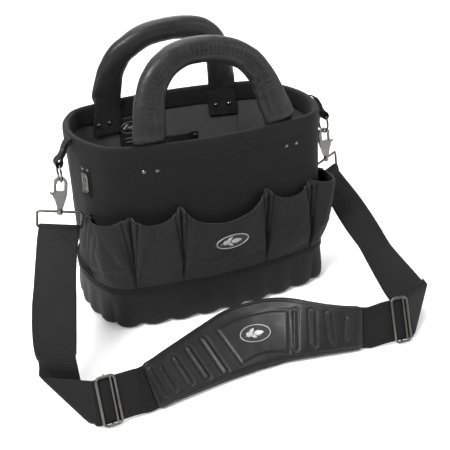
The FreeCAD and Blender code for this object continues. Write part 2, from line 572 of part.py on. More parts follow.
# ---- shoulder strap ---------------------------------------------------------
# one row per crossing of the strap: lower edge, upper edge; it starts and ends
# with the turn round a strap ring's bar
STRAP = [
    (-176.69, -59.17, 127.32, -224.59, -45.11, 130.09),
    (-173.17, -46.05, 126.18, -220.84, -32.18, 132.17),
    (-172.06, -41.54, 125.42, -219.54, -27.66, 132.66),
    (-170.88, -37.21, 124.83, -218.37, -23.33, 132.08),
    (-169.84, -33.41, 124.36, -217.33, -19.53, 131.60),
    (-169.20, -31.38, 124.66, -216.68, -17.49, 131.91),
    (-168.57, -30.06, 126.25, -216.06, -16.18, 133.50),
    (-168.26, -30.09, 128.38, -215.74, -16.20, 135.63),
    (-168.39, -31.43, 130.06, -215.88, -17.55, 137.30),
    (-168.92, -33.48, 130.50, -216.41, -19.59, 137.74),
    (-170.29, -37.74, 129.74, -217.77, -23.86, 136.99),
    (-171.45, -41.09, 128.56, -218.93, -27.21, 135.81),
    (-172.91, -46.13, 128.46, -220.57, -32.26, 134.45),
    (-176.61, -59.34, 129.61, -224.51, -45.28, 132.38),
    (-180.50, -72.56, 130.46, -228.31, -57.98, 128.98),
    (-184.60, -85.67, 130.35, -231.89, -70.32, 125.05),
    (-188.64, -98.48, 128.53, -235.45, -82.38, 121.49),
    (-196.44, -122.96, 122.38, -242.40, -105.42, 113.42),
    (-200.07, -134.43, 118.17, -245.80, -116.35, 109.09),
    (-203.35, -145.15, 112.98, -249.23, -126.97, 104.96),
    (-206.25, -154.93, 106.88, -252.68, -137.30, 101.11),
    (-209.13, -164.28, 101.27, -255.70, -146.76, 96.28),
    (-214.61, -181.47, 91.12, -260.51, -162.72, 84.69),
    (-217.07, -189.07, 86.25, -262.30, -169.21, 78.54),
    (-219.35, -195.97, 81.52, -263.60, -174.58, 72.33),
    (-221.48, -202.16, 76.92, -264.33, -178.72, 66.21),
    (-223.48, -207.64, 72.38, -264.38, -181.49, 60.42),
    (-225.39, -212.45, 67.66, -263.68, -182.75, 55.32),
    (-227.09, -216.43, 62.20, -262.28, -182.52, 51.62),
    (-226.05, -230.97, 12.42, -262.26, -182.80, 50.95),
    (-226.27, -232.29, 9.30, -262.48, -184.12, 47.83),
    (-226.93, -234.27, 6.68, -263.13, -186.10, 45.21),
    (-227.78, -236.87, 4.77, -263.98, -188.70, 43.30),
    (-228.54, -239.99, 3.66, -264.75, -191.82, 42.19),
    (-228.96, -243.45, 3.35, -265.17, -195.28, 41.88),
    (-227.95, -250.49, 4.62, -264.16, -202.32, 43.15),
    (-226.33, -253.61, 5.76, -262.53, -205.44, 44.29),
    (-223.97, -256.22, 6.54, -260.18, -208.05, 45.06),
    (-223.23, -256.86, 4.90, -221.28, -241.53, 51.00),
    (-217.19, -261.03, 4.81, -216.95, -244.63, 52.05),
    (-177.09, -260.39, 4.81, -176.85, -244.00, 52.05),
    (-166.55, -259.81, 2.96, -168.50, -239.24, 48.49),
    (-156.88, -258.62, 2.89, -159.37, -234.03, 46.36),
    (-128.05, -253.42, 5.60, -132.24, -219.07, 41.70),
    (-99.40, -246.54, 7.78, -104.54, -207.20, 38.22),
    (-70.63, -238.94, 9.76, -75.12, -196.62, 35.99),
    (-51.11, -234.41, 11.02, -54.15, -191.06, 35.75),
    (-31.58, -230.25, 12.39, -33.66, -186.47, 36.44),
    (-21.47, -229.02, 12.81, -22.33, -185.10, 36.69),
    (-11.18, -229.06, 12.91, -10.41, -185.30, 37.10),
    (-1.15, -230.70, 13.11, 0.62, -188.27, 39.50),
    (8.75, -233.01, 13.14, 11.29, -192.56, 42.42),
    (18.73, -236.67, 12.63, 22.75, -199.53, 45.87),
    (28.22, -240.30, 11.57, 32.18, -206.49, 48.19),
    (56.87, -249.22, 7.54, 61.04, -223.65, 50.30),
    (76.01, -253.98, 5.24, 79.52, -232.91, 50.45),
    (104.90, -260.20, 2.58, 107.92, -243.52, 49.62),
    (114.55, -262.14, 1.41, 117.47, -246.12, 48.68),
    (134.31, -266.41, 5.09, 136.68, -249.22, 51.98),
    (164.59, -269.45, 5.09, 166.95, -252.26, 51.98),
    (168.56, -268.19, 5.10, 170.13, -250.35, 50.66),
    (169.41, -267.71, 6.95, 215.61, -224.28, 42.34),
    (174.02, -263.47, 5.40, 220.23, -220.04, 40.79),
    (176.52, -257.58, 5.10, 222.73, -214.14, 39.97),
    (177.12, -251.25, 5.65, 223.33, -207.82, 41.04),
    (176.40, -201.22, 21.14, 223.32, -206.89, 37.48),
    (176.67, -179.46, 31.45, 225.47, -186.09, 40.08),
    (178.97, -151.01, 44.19, 228.78, -155.29, 43.42),
    (180.89, -130.15, 53.88, 230.48, -131.32, 47.57),
    (181.60, -119.29, 58.25, 231.12, -119.07, 51.36),
    (181.90, -96.65, 65.20, 231.87, -95.53, 63.70),
    (181.62, -85.93, 69.92, 231.57, -83.80, 70.32),
    (180.93, -75.89, 75.55, 230.76, -72.19, 77.30),
    (179.78, -66.78, 82.11, 229.35, -60.78, 84.71),
    (178.15, -58.79, 89.56, 227.20, -49.63, 92.70),
    (176.36, -53.13, 97.93, 223.86, -37.87, 101.34),
    (174.27, -48.48, 107.24, 219.33, -27.09, 110.70),
    (171.19, -43.91, 117.69, 214.16, -18.52, 120.70),
    (169.49, -43.63, 122.91, 211.82, -17.06, 124.44),
    (168.98, -43.02, 126.56, 211.31, -16.46, 128.09),
    (168.00, -41.71, 130.80, 210.34, -15.15, 132.33),
    (167.19, -40.50, 132.39, 209.52, -13.94, 133.91),
    (166.05, -38.70, 132.67, 208.38, -12.13, 134.20),
    (165.11, -37.14, 131.51, 207.44, -10.58, 133.04),
    (164.82, -36.56, 129.46, 207.15, -9.99, 130.98),
    (165.31, -37.22, 127.47, 207.64, -10.66, 128.99),
    (166.68, -39.22, 124.32, 209.01, -12.66, 125.85),
    (168.25, -41.53, 120.77, 210.59, -14.97, 122.30),
    (170.29, -42.24, 116.39, 213.26, -16.85, 119.39),
    (173.60, -46.83, 105.78, 218.66, -25.44, 109.24),
]

PAD_HALF = [(-160, 26.3), (-140, 27.2), (-120.7, 29.5), (-101.3, 32.0), (-81.4, 34.9), (-60.5, 38.2), (-40.2, 41.5), (-18.3, 43.7),
            (3.6, 42.1), (25.0, 37.7), (44.8, 33.4), (64.4, 30.0), (83.9, 27.8), (103.6, 26.3), (118, 26.3)]
lows = [V(*r[:3]) for r in STRAP]
ups = [V(*r[3:]) for r in STRAP]


def strap_normals(a, b):
    out = []
    n = len(a)
    for i in range(n):
        t = a[min(i + 1, n - 1)] - a[max(i - 1, 0)]
        if t.Length < 1.0:
            t = (a[min(i + 1, n - 1)] + b[min(i + 1, n - 1)]) - (a[max(i - 1, 0)] + b[max(i - 1, 0)])
        w = ups[i] - lows[i]
        v = t.cross(w)
        v.normalize()
        out.append(v)
    return out


nlow, nup = strap_normals(lows, ups), strap_normals(ups, lows)
half = D["strap_thick"] / 2
so = [[lows[i] + nlow[i] * half, ups[i] + nup[i] * half] for i in range(len(lows))]
si = [[lows[i] - nlow[i] * half, ups[i] - nup[i] * half] for i in range(len(lows))]
feature("strap_webbing", sheet_solid(so, si))


def pad_half(x):
    for (x0, h0), (x1, h1) in zip(PAD_HALF, PAD_HALF[1:]):
        if x0 <= x <= x1:
            return h0 + (h1 - h0) * (x - x0) / (x1 - x0)
    return 26.3


rows = [i for i in range(len(lows)) if (lows[i].y + ups[i].y) / 2 < -180 and -161 < (lows[i].x + ups[i].x) / 2 < 116]
cover_o, cover_i, back_o, back_i = [], [], [], []
for k, i in enumerate(rows):
    c = (lows[i] + ups[i]) * 0.5
    w = ups[i] - lows[i]
    w.normalize()
    hw = pad_half(c.x)
    nn = nlow[i] + nup[i]
    nn.normalize()
    end = k in (0, len(rows) - 1)
    t1 = 2.6 if end else 7.0
    t2 = 2.4 if end else 3.7
    wid = hw - 25.0
    cols = [(lows[i] - w * wid, nlow[i], 0.45), (lows[i], nlow[i], 1.0), (ups[i], nup[i], 1.0), (ups[i] + w * wid, nup[i], 0.45)]
    cover_o.append([p + q * (1.5 + (t1 - 1.5) * g) for p, q, g in cols])
    cover_i.append([p + q * 1.4 for p, q, g in cols])
    back_o.append([p - q * 1.4 for p, q, g in cols])
    back_i.append([p - q * (1.5 + (t2 - 1.5) * g) for p, q, g in cols])
feature("pad_cover", sheet_solid(cover_o, cover_i))
feature("pad_backing", sheet_solid(back_o, back_i))

# badge on the pad
cx = 4.0
i = min(rows, key=lambda q: abs((lows[q].x + ups[q].x) / 2 - cx))
c = (lows[i] + ups[i]) * 0.5
w = ups[i] - lows[i]
w.normalize()
nn = nlow[i] + nup[i]
nn.normalize()
tt = w.cross(nn)
pe = doc.addObject("Part::Ellipse", "pad_badge_outline")
pe.MajorRadius, pe.MinorRadius = 21.0, 12.0
pe.Placement = Placement(c + nn * 10.25, Rotation(tt, w, nn, "ZXY"))
pb = doc.addObject("Part::Extrusion", "pad_badge")
pb.Base = pe
pb.DirMode = "Normal"
pb.Solid = True
pb.setExpression("LengthFwd", "Dims.badge_thick")
node(pb, "pad_badge")

# ---- sliding adjusters ------------------------------------------------------
SLIDES = {"left_slide": (V(-205.5, -252.65, 28.43), V(0.99988, 0.01576, 0), V(0.00475, 0.32787, 0.94471)),
          "right_slide": (V(154.0, -259.67, 28.53), V(0.99501, -0.09977, 0), V(0.04735, 0.34386, 0.93783))}
for label, (c, t, w) in SLIDES.items():
    w = w - t * w.dot(t)
    w.normalize()
    n = t.cross(w)
    if n.y > 0:
        n = n * -1
    # local X along the strap, Z across it, Y backwards through it
    fr = Placement(c, Rotation(t, n * -1, w, "ZXY"))
    q = fr.Rotation
    def lb(name, x0, x1, y0, y1, z0, z1):
        b_ = doc.addObject("Part::Box", name)
        b_.Length, b_.Width, b_.Height = x1 - x0, y1 - y0, z1 - z0
        b_.Placement = fr.multiply(Placement(V(x0, y0, z0), Rotation()))
        return b_
    plate = lb(label + "_plate", -11.5, 11.5, -4.5, -1.5, -28.2, 28.2)
    plate.setExpression("Width", "Dims.slide_plate")
    wins = [lb(label + "_win%d" % k, x0, x1, -6, 0, -25.2, 25.2) for k, (x0, x1) in enumerate(((-9.2, 4.2), (6.6, 9.2)))]
    frame_ = cut(label + "_frame", plate, fuse(label + "_wins", wins, keep=False), keep=False)
    sides = [lb(label + "_side%d" % k, -3, 3, -1.5, 3.6, z0, z1) for k, (z0, z1) in enumerate(((-28.2, -25.6), (25.6, 28.2)))]
    keeper = lb(label + "_keeper", -3, 3, 1.5, 3.6, -28.2, 28.2)
    fuse(label, [frame_] + sides + [keeper])

# ---- tape tab and clip on the left end --------------------------------------
tp = wall(-165, -52, 214, 0)
tq = wall(-165, -52, 214, 10)
tn = V(tq.x - tp.x, tq.y - tp.y, 0)
tn.normalize()
tside = V(tn.y, -tn.x, 0)
tf = Placement(tp + tn * 0.4, Rotation(tside, tn, V(0, 0, 1), "ZXY"))


def tbox(name, x0, x1, y0, y1, z0, z1):
    b_ = doc.addObject("Part::Box", name)
    b_.Length, b_.Width, b_.Height = x1 - x0, y1 - y0, z1 - z0
    b_.Placement = tf.multiply(Placement(V(x0, y0, z0), Rotation()))
    return b_


fuse("tape_tab", [tbox("tape_tab_a", -9, 9, 0.2, 2.0, -38, 0), tbox("tape_tab_b", -9, 9, 0.2, 4.6, -38, -34)])
clip = tbox("tape_clip", -6, 6, 2.6, 4.2, -33.0, -8.0)
clip.setExpression("Width", "Dims.clip_thick")
node(clip, "tape_clip")
group("tape_rivets", [cylinder("tape_rivet_%d" % k, 2.4, 1.4, tf.multiply(Placement(V(x, 2.1, -4.5), Rotation(V(1, 0, 0), -90)))) for k, x in enumerate((-5, 5))])

# ---- check and export -------------------------------------------------------
doc.recompute()
bad = []
for obj in doc.Objects:
    if "Invalid" in obj.State or "Error" in obj.State:
        bad.append((obj.Name, obj.State))
for obj in PARTS:
    s = obj.Shape
    if s.isNull() or not s.isValid() or not s.Solids or min(x.Volume for x in s.Solids) <= 0:
        bad.append((obj.Label, "shape", s.isNull() or s.isValid(), len(s.Solids)))
labels = [o.Label for o in PARTS]
if len(set(labels)) != len(labels):
    bad.append(("labels", labels))
if bad:
    raise SystemExit("not written: %s" % bad)
os.makedirs("parts", exist_ok=True)
for obj in PARTS:
    obj.Shape.exportStep("parts/%s.step" % obj.Label)
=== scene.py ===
import bpy
import bmesh
import math
import random
import numpy as np
from mathutils import Matrix, Vector, noise


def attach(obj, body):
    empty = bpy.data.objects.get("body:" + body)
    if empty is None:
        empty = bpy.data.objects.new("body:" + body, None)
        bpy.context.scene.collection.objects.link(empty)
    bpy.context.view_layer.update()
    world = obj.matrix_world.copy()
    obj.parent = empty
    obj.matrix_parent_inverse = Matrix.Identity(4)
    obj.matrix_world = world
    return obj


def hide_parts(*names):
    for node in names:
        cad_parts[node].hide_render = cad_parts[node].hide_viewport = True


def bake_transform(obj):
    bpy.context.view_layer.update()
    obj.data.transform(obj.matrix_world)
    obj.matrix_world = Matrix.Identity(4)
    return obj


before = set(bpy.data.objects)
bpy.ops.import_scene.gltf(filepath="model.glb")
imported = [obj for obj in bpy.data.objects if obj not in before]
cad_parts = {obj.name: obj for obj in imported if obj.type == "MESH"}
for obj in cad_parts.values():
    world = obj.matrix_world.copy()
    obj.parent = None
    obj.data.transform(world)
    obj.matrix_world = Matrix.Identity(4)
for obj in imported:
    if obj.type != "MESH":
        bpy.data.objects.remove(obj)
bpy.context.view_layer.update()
random.seed(7)
rng = np.random.default_rng(7)

# ---------------------------------------------------------------- materials


def mat_new(name):
    m = bpy.data.materials.new(name)
    m.use_nodes = True
    nt = m.node_tree
    b = nt.nodes["Principled BSDF"]
    return m, nt, b


def link(nt, a, b):
    nt.links.new(a, b)


def N(nt, kind, **kw):
    n = nt.nodes.new(kind)
    for k, v in kw.items():
        setattr(n, k, v)
    return n


def math_node(nt, op, a, b=None, clamp=False):
    n = N(nt, "ShaderNodeMath", operation=op)
    n.use_clamp = clamp
    for i, v in enumerate((a, b)):
        if v is None:
            continue
        if isinstance(v, (int, float)):
            n.inputs[i].default_value = v
        else:
            link(nt, v, n.inputs[i])
    return n.outputs[0]


def uv_scaled(nt, su, sv, object_space=False):
    tc = N(nt, "ShaderNodeTexCoord")
    mp = N(nt, "ShaderNodeMapping")
    mp.inputs["Scale"].default_value = (su, sv, su if object_space else 1)
    link(nt, tc.outputs["Object" if object_space else "UV"], mp.inputs["Vector"])
    return mp.outputs["Vector"]


def noise_tex(nt, vec, scale, detail=4.0, rough=0.6):
    n = N(nt, "ShaderNodeTexNoise")
    n.inputs["Scale"].default_value = scale
    n.inputs["Detail"].default_value = detail
    n.inputs["Roughness"].default_value = rough
    if vec is not None:
        link(nt, vec, n.inputs["Vector"])
    return n


def ramp(nt, fac, stops):
    r = N(nt, "ShaderNodeValToRGB")
    el = r.color_ramp.elements
    while len(el) < len(stops):
        el.new(0.5)
    for e, (p, c) in zip(el, stops):
        e.position = p
        e.color = (c[0], c[1], c[2], 1) if isinstance(c, (tuple, list)) else (c, c, c, 1)
    link(nt, fac, r.inputs["Fac"])
    return r.outputs["Color"]


def bump(nt, b, height, strength, distance):
    n = N(nt, "ShaderNodeBump")
    n.inputs["Strength"].default_value = strength
    n.inputs["Distance"].default_value = distance
    link(nt, height, n.inputs["Height"])
    link(nt, n.outputs["Normal"], b.inputs["Normal"])
    return n


def obj_vec(nt):
    return N(nt, "ShaderNodeTexCoord").outputs["Object"]


def weave_height(nt, pitch_u, pitch_v):
    """Plain weave in UV metres: warp and weft threads that pass over each other."""
    tc = N(nt, "ShaderNodeTexCoord")
    sep = N(nt, "ShaderNodeSeparateXYZ")
    link(nt, tc.outputs["UV"], sep.inputs[0])
    u = math_node(nt, "MULTIPLY", sep.outputs[0], math.pi / pitch_u)
    v = math_node(nt, "MULTIPLY", sep.outputs[1], math.pi / pitch_v)
    su = math_node(nt, "SINE", u)
    sv = math_node(nt, "SINE", v)
    au = math_node(nt, "ABSOLUTE", su)
    av = math_node(nt, "ABSOLUTE", sv)
    over = math_node(nt, "MULTIPLY", su, sv)
    over = math_node(nt, "MULTIPLY_ADD", over, 0.5)
    nt.nodes[-1].inputs[2].default_value = 0.5
    return math_node(nt, "ADD", math_node(nt, "MULTIPLY", math_node(nt, "MULTIPLY", au, av), 0.55), math_node(nt, "MULTIPLY", over, 0.45))


def fabric(name, dark, light, pitch=0.0011, mott=95.0, rough=0.86, sheen=0.04, depth=0.0005, fray=1.0):
    m, nt, b = mat_new(name)
    h = weave_height(nt, pitch, pitch)
    vec = obj_vec(nt)
    n1 = noise_tex(nt, vec, mott, 5.0, 0.65)
    n2 = noise_tex(nt, vec, 14.0, 3.0, 0.55)
    mixf = math_node(nt, "ADD", math_node(nt, "MULTIPLY", n1.outputs["Fac"], 0.55 * fray), math_node(nt, "MULTIPLY", n2.outputs["Fac"], 0.45))
    mixf = math_node(nt, "ADD", math_node(nt, "MULTIPLY", mixf, 0.75), math_node(nt, "MULTIPLY", h, 0.25))
    col = ramp(nt, mixf, [(0.28, dark), (0.72, light)])
    link(nt, col, b.inputs["Base Color"])
    link(nt, ramp(nt, n1.outputs["Fac"], [(0.2, rough - 0.07), (0.8, min(1.0, rough + 0.06))]), b.inputs["Roughness"])
    b.inputs["Sheen Weight"].default_value = sheen
    b.inputs["Sheen Roughness"].default_value = 0.45
    b.inputs["Specular IOR Level"].default_value = 0.16
    hh = math_node(nt, "ADD", h, math_node(nt, "MULTIPLY", n1.outputs["Fac"], 0.6))
    bump(nt, b, hh, 0.55, depth)
    return m


def webbing(name, dark, light, pitch_u=0.0024, pitch_v=0.0016, rough=0.78):
    """Ribbed webbing: short floats in rows across the band."""
    m, nt, b = mat_new(name)
    tc = N(nt, "ShaderNodeTexCoord")
    sep = N(nt, "ShaderNodeSeparateXYZ")
    link(nt, tc.outputs["UV"], sep.inputs[0])
    u = math_node(nt, "MULTIPLY", sep.outputs[0], 2 * math.pi / pitch_u)
    v = math_node(nt, "MULTIPLY", sep.outputs[1], 2 * math.pi / pitch_v)
    su, sv = math_node(nt, "SINE", u), math_node(nt, "SINE", v)
    h = math_node(nt, "MULTIPLY_ADD", math_node(nt, "ADD", su, math_node(nt, "MULTIPLY", sv, 0.7)), 0.28)
    nt.nodes[-1].inputs[2].default_value = 0.5
    vec = obj_vec(nt)
    n1 = noise_tex(nt, vec, 160.0, 4.0, 0.6)
    n2 = noise_tex(nt, vec, 18.0, 3.0, 0.5)
    f = math_node(nt, "ADD", math_node(nt, "MULTIPLY", n1.outputs["Fac"], 0.35), math_node(nt, "MULTIPLY", n2.outputs["Fac"], 0.35))
    f = math_node(nt, "ADD", f, math_node(nt, "MULTIPLY", h, 0.3))
    link(nt, ramp(nt, f, [(0.3, dark), (0.7, light)]), b.inputs["Base Color"])
    link(nt, ramp(nt, n1.outputs["Fac"], [(0.2, rough - 0.08), (0.8, rough + 0.08)]), b.inputs["Roughness"])
    b.inputs["Sheen Weight"].default_value = 0.03
    b.inputs["Sheen Roughness"].default_value = 0.4
    b.inputs["Specular IOR Level"].default_value = 0.15
    bump(nt, b, math_node(nt, "ADD", h, math_node(nt, "MULTIPLY", n1.outputs["Fac"], 0.4)), 0.6, 0.0005)
    return m


def vinyl(name, dark, light, rough=0.34, grain=900.0, coat=0.25, depth=0.0003, strength=0.35):
    m, nt, b = mat_new(name)
    vec = obj_vec(nt)
    vo = N(nt, "ShaderNodeTexVoronoi", feature="DISTANCE_TO_EDGE")
    vo.inputs["Scale"].default_value = grain
    link(nt, vec, vo.inputs["Vector"])
    n1 = noise_tex(nt, vec, 220.0, 5.0, 0.6)
    n2 = noise_tex(nt, vec, 25.0, 3.0, 0.55)
    cells = ramp(nt, vo.outputs["Distance"], [(0.0, 0.0), (0.12, 1.0)])
    link(nt, ramp(nt, n2.outputs["Fac"], [(0.3, dark), (0.7, light)]), b.inputs["Base Color"])
    link(nt, ramp(nt, n1.outputs["Fac"], [(0.25, rough - 0.06), (0.75, rough + 0.12)]), b.inputs["Roughness"])
    b.inputs["Coat Weight"].default_value = coat
    b.inputs["Coat Roughness"].default_value = 0.25
    b.inputs["Specular IOR Level"].default_value = 0.28
    bump(nt, b, math_node(nt, "ADD", cells, math_node(nt, "MULTIPLY", n1.outputs["Fac"], 0.8)), strength, depth)
    return m


def rubber(name, dark, light, rough=0.62):
    m, nt, b = mat_new(name)
    vec = obj_vec(nt)
    n1 = noise_tex(nt, vec, 420.0, 4.0, 0.7)
    n2 = noise_tex(nt, vec, 9.0, 4.0, 0.6)
    link(nt, ramp(nt, n2.outputs["Fac"], [(0.3, dark), (0.7, light)]), b.inputs["Base Color"])
    link(nt, ramp(nt, n2.outputs["Fac"], [(0.3, rough - 0.06), (0.75, rough + 0.12)]), b.inputs["Roughness"])
    b.inputs["Specular IOR Level"].default_value = 0.2
    bump(nt, b, math_node(nt, "ADD", n1.outputs["Fac"], math_node(nt, "MULTIPLY", n2.outputs["Fac"], 0.8)), 0.3, 0.0004)
    return m


def metal(name, base, rough=0.27, scratch=1.0):
    m, nt, b = mat_new(name)
    vec = obj_vec(nt)
    n1 = noise_tex(nt, vec, 700.0, 5.0, 0.7)
    n2 = noise_tex(nt, vec, 60.0, 3.0, 0.6)
    link(nt, ramp(nt, n2.outputs["Fac"], [(0.3, [c * 0.72 for c in base]), (0.7, base)]), b.inputs["Base Color"])
    link(nt, ramp(nt, n1.outputs["Fac"], [(0.25, rough - 0.08), (0.8, rough + 0.16)]), b.inputs["Roughness"])
    b.inputs["Metallic"].default_value = 1.0
    bump(nt, b, n1.outputs["Fac"], 0.12 * scratch, 0.0002)
    return m


BLACK = fabric("black_polyester", (0.00357, 0.00357, 0.00378), (0.00882, 0.00882, 0.00924))
POCKET = fabric("pocket_polyester", (0.0056, 0.0056, 0.0058), (0.0180, 0.0180, 0.0185), pitch=0.0013)
LINING = fabric("lining_cloth", (0.0400, 0.0405, 0.0415), (0.0620, 0.0625, 0.0645), pitch=0.0010, mott=60, rough=0.9, sheen=0.15)
WEB = webbing("strap_webbing_black", (0.00432, 0.00432, 0.00450), (0.00864, 0.00864, 0.00900))
BIND = webbing("binding_webbing", (0.00360, 0.00360, 0.00390), (0.00840, 0.00840, 0.00870), 0.0018, 0.0016)
PADV = vinyl("pad_vinyl", (0.0026, 0.0026, 0.0028), (0.0056, 0.0056, 0.0058), rough=0.36, grain=750, coat=0.05)
GRIP = vinyl("handle_vinyl", (0.0050, 0.0050, 0.0052), (0.0150, 0.0150, 0.0155), rough=0.36, grain=520, coat=0.10, depth=0.0007, strength=0.9)
FOAM = rubber("pad_neoprene", (0.00500, 0.00500, 0.00500), (0.00900, 0.00900, 0.00900), rough=0.8)
BOOT = rubber("boot_rubber_black", (0.00336, 0.00336, 0.00357), (0.00714, 0.00714, 0.00735))
BOARD = rubber("board_black", (0.02, 0.02, 0.02), (0.03, 0.03, 0.03), rough=0.5)
NICKEL = metal("nickel_plate", (0.31500, 0.30750, 0.29250))
DARKNI = metal("dark_nickel", (0.14000, 0.13650, 0.12950), rough=0.30)
HOOKNI = metal("hook_nickel", (0.15500, 0.15000, 0.14100), rough=0.24)
RIVET = metal("rivet_dark", (0.16, 0.158, 0.15), rough=0.17)
BADGE = vinyl("badge_plate", (0.012, 0.012, 0.0125), (0.02, 0.02, 0.02), rough=0.45, grain=1500, coat=0.0)
SILVER = metal("badge_silver", (0.45, 0.45, 0.45), rough=0.42)
THREAD = fabric("thread_black", (0.01260, 0.01260, 0.01260), (0.02800, 0.02800, 0.02870), pitch=0.0006, rough=0.6, depth=0.0002)
# lighter fabric colour that paints the highlight along the top fold of the pocket hems
HEM_HIGHLIGHT = fabric("hem_top_painted_highlight", (0.022, 0.022, 0.0225), (0.046, 0.046, 0.047), pitch=0.0012, rough=0.7)
TONAL = vinyl("tonal_print", (0.020, 0.020, 0.020), (0.034, 0.034, 0.034), rough=0.30, grain=1800, coat=0.25, strength=0.2)
LABEL = fabric("label_cloth", (0.00480, 0.00480, 0.00480), (0.00960, 0.00960, 0.00960), pitch=0.0008, rough=0.8)

# ---------------------------------------------------------------- mesh tools
MM = 0.001


def make(name, verts, faces, mat, uvs=None, smooth=True):
    """verts in millimetres; uvs per vertex in metres."""
    me = bpy.data.meshes.new(name)
    me.from_pydata([tuple(float(c) * MM for c in v) for v in verts], [], [tuple(int(i) for i in f) for f in faces])
    me.validate()
    if uvs is not None:
        layer = me.uv_layers.new(name="UVMap")
        idx = np.empty(len(me.loops), dtype=np.int64)
        me.loops.foreach_get("vertex_index", idx)
        arr = np.asarray(uvs, dtype=np.float64)[idx]
        layer.data.foreach_set("uv", arr.astype(np.float32).ravel())
    me.polygons.foreach_set("use_smooth", [smooth] * len(me.polygons))
    me.materials.append(mat)
    ob = bpy.data.objects.new(name, me)
    bpy.context.scene.collection.objects.link(ob)
    return ob


def grid_faces(n, m, close_u=False, close_v=False, off=0, flip=False):
    """rows n (u), columns m (v), vertex index i*m+j"""
    fs = []
    for i in range(n if close_u else n - 1):
        for j in range(m if close_v else m - 1):
            a, b = i * m + j, ((i + 1) % n) * m + j
            c, d = ((i + 1) % n) * m + (j + 1) % m, i * m + (j + 1) % m
            fs.append((off + a, off + d, off + c, off + b) if flip else (off + a, off + b, off + c, off + d))
    return fs


def solidify(ob, mm, offset=-1.0, rim=True):
    md = ob.modifiers.new("thick", "SOLIDIFY")
    md.thickness = mm * MM
    md.offset = offset
    md.use_even_offset = False
    md.use_rim = rim
    return md


def subsurf(ob, level=1):
    md = ob.modifiers.new("sub", "SUBSURF")
    md.levels = md.render_levels = level
    return md


def bevel(ob, mm, seg=2):
    md = ob.modifiers.new("bevel", "BEVEL")
    md.width = mm * MM
    md.segments = seg
    md.limit_method = "ANGLE"
    md.angle_limit = math.radians(35)
    md.use_clamp_overlap = True
    return md


def tube(name, path, radius, mat, seg=8, closed=False, caps=True, squash=1.0):
    """Tube round a list of points in millimetres, with parallel transport."""
    P = np.array(path, float)
    n = len(P)
    T = np.roll(P, -1, 0) - np.roll(P, 1, 0) if closed else np.gradient(P, axis=0)
    T /= np.linalg.norm(T, axis=1)[:, None] + 1e-12
    ref = np.array([0, 0, 1.0]) if abs(T[0][2]) < 0.9 else np.array([1.0, 0, 0])
    A = np.cross(T[0], ref)
    A /= np.linalg.norm(A)
    verts = []
    for i in range(n):
        A = A - T[i] * np.dot(A, T[i])
        A /= np.linalg.norm(A) + 1e-12
        B = np.cross(T[i], A)
        r = radius[i] if hasattr(radius, "__len__") else radius
        for k in range(seg):
            t = 2 * math.pi * k / seg
            verts.append(P[i] + r * (math.cos(t) * A + squash * math.sin(t) * B))
    faces = grid_faces(n, seg, close_u=closed, close_v=True)
    if caps and not closed:
        faces.append(tuple(range(seg - 1, -1, -1)))
        faces.append(tuple((n - 1) * seg + k for k in range(seg)))
    uv = [(i * 0.001, k * 0.001) for i in range(n) for k in range(seg)]
    return make(name, verts, faces, mat, uv)


def join(name, objs):
    """Joins pieces into one mesh object."""
    bm = bmesh.new()
    mats = []
    for o in objs:
        tmp = o.data.copy()
        for k, mt in enumerate(o.data.materials):
            if mt not in mats:
                mats.append(mt)
        idx = [mats.index(mt) for mt in o.data.materials]
        for p in tmp.polygons:
            p.material_index = idx[p.material_index] if idx else 0
        bm.from_mesh(tmp)
        bpy.data.meshes.remove(tmp)
    me = bpy.data.meshes.new(name)
    bm.to_mesh(me)
    bm.free()
    for mt in mats:
        me.materials.append(mt)
    me.polygons.foreach_set("use_smooth", [True] * len(me.polygons))
    ob = bpy.data.objects.new(name, me)
    bpy.context.scene.collection.objects.link(ob)
    for o in objs:
        d = o.data
        bpy.data.objects.remove(o)
        bpy.data.meshes.remove(d)
    return ob


def stitches(name, pts, normals, mat=None, length=2.6, gap=1.5, rad=0.34, lift=0.15):
    """A row of stitches along a polyline (mm), lying on the surface."""
    P = np.array(pts, float)
    Nn = np.array(normals, float)
    seg = np.linalg.norm(np.diff(P, axis=0), axis=1)
    s = np.r_[0, np.cumsum(seg)]
    total = s[-1]
    verts, faces = [], []
    k = 0
    x = 0.6
    while x + length < total:
        ts = [x, x + length * 0.25, x + length * 0.5, x + length * 0.75, x + length]
        rr = [0.45, 0.95, 1.0, 0.95, 0.45]
        hh = [-0.25, 0.7, 1.0, 0.7, -0.25]
        C = np.array([[np.interp(t, s, P[:, q]) for q in range(3)] for t in ts])
        Q = np.array([[np.interp(t, s, Nn[:, q]) for q in range(3)] for t in ts])
        Q /= np.linalg.norm(Q, axis=1)[:, None]
        T = np.gradient(C, axis=0)
        T /= np.linalg.norm(T, axis=1)[:, None] + 1e-12
        B = np.cross(T, Q)
        base = len(verts)
        for i in range(5):
            for a in range(6):
                t = math.pi / 3 * a
                verts.append(C[i] + Q[i] * (lift * hh[i]) + rad * rr[i] * (math.cos(t) * B[i] + math.sin(t) * Q[i]))
        faces += grid_faces(5, 6, close_v=True, off=base)
        x += length + gap
        k += 1
    return make(name, verts, faces, mat or THREAD, [(0, 0)] * len(verts))


# ---------------------------------------------------------------- wall outline
RIM = (163.6, 111.1, 105.5, 52.2, 43.6)
BASE = (160.0, 97.0, 116.8, 52.3, 33.0)


def oval_size(z, off=0.0):
    f = max(0.0, min(1.0, z / 240.0))
    q = [BASE[k] * (1 - f) + RIM[k] * f for k in range(5)]
    return q[0] + off, q[1] + off, q[2], q[3], q[4] + off


def oval_arcs(a, b, cx, cy, r):
    rf = (cx * cx + (b - cy) ** 2 - r * r) / (2 * (b - cy - r))
    re = (cy * cy + (a - cx) ** 2 - r * r) / (2 * (a - cx - r))
    return rf, b - rf, re, a - re


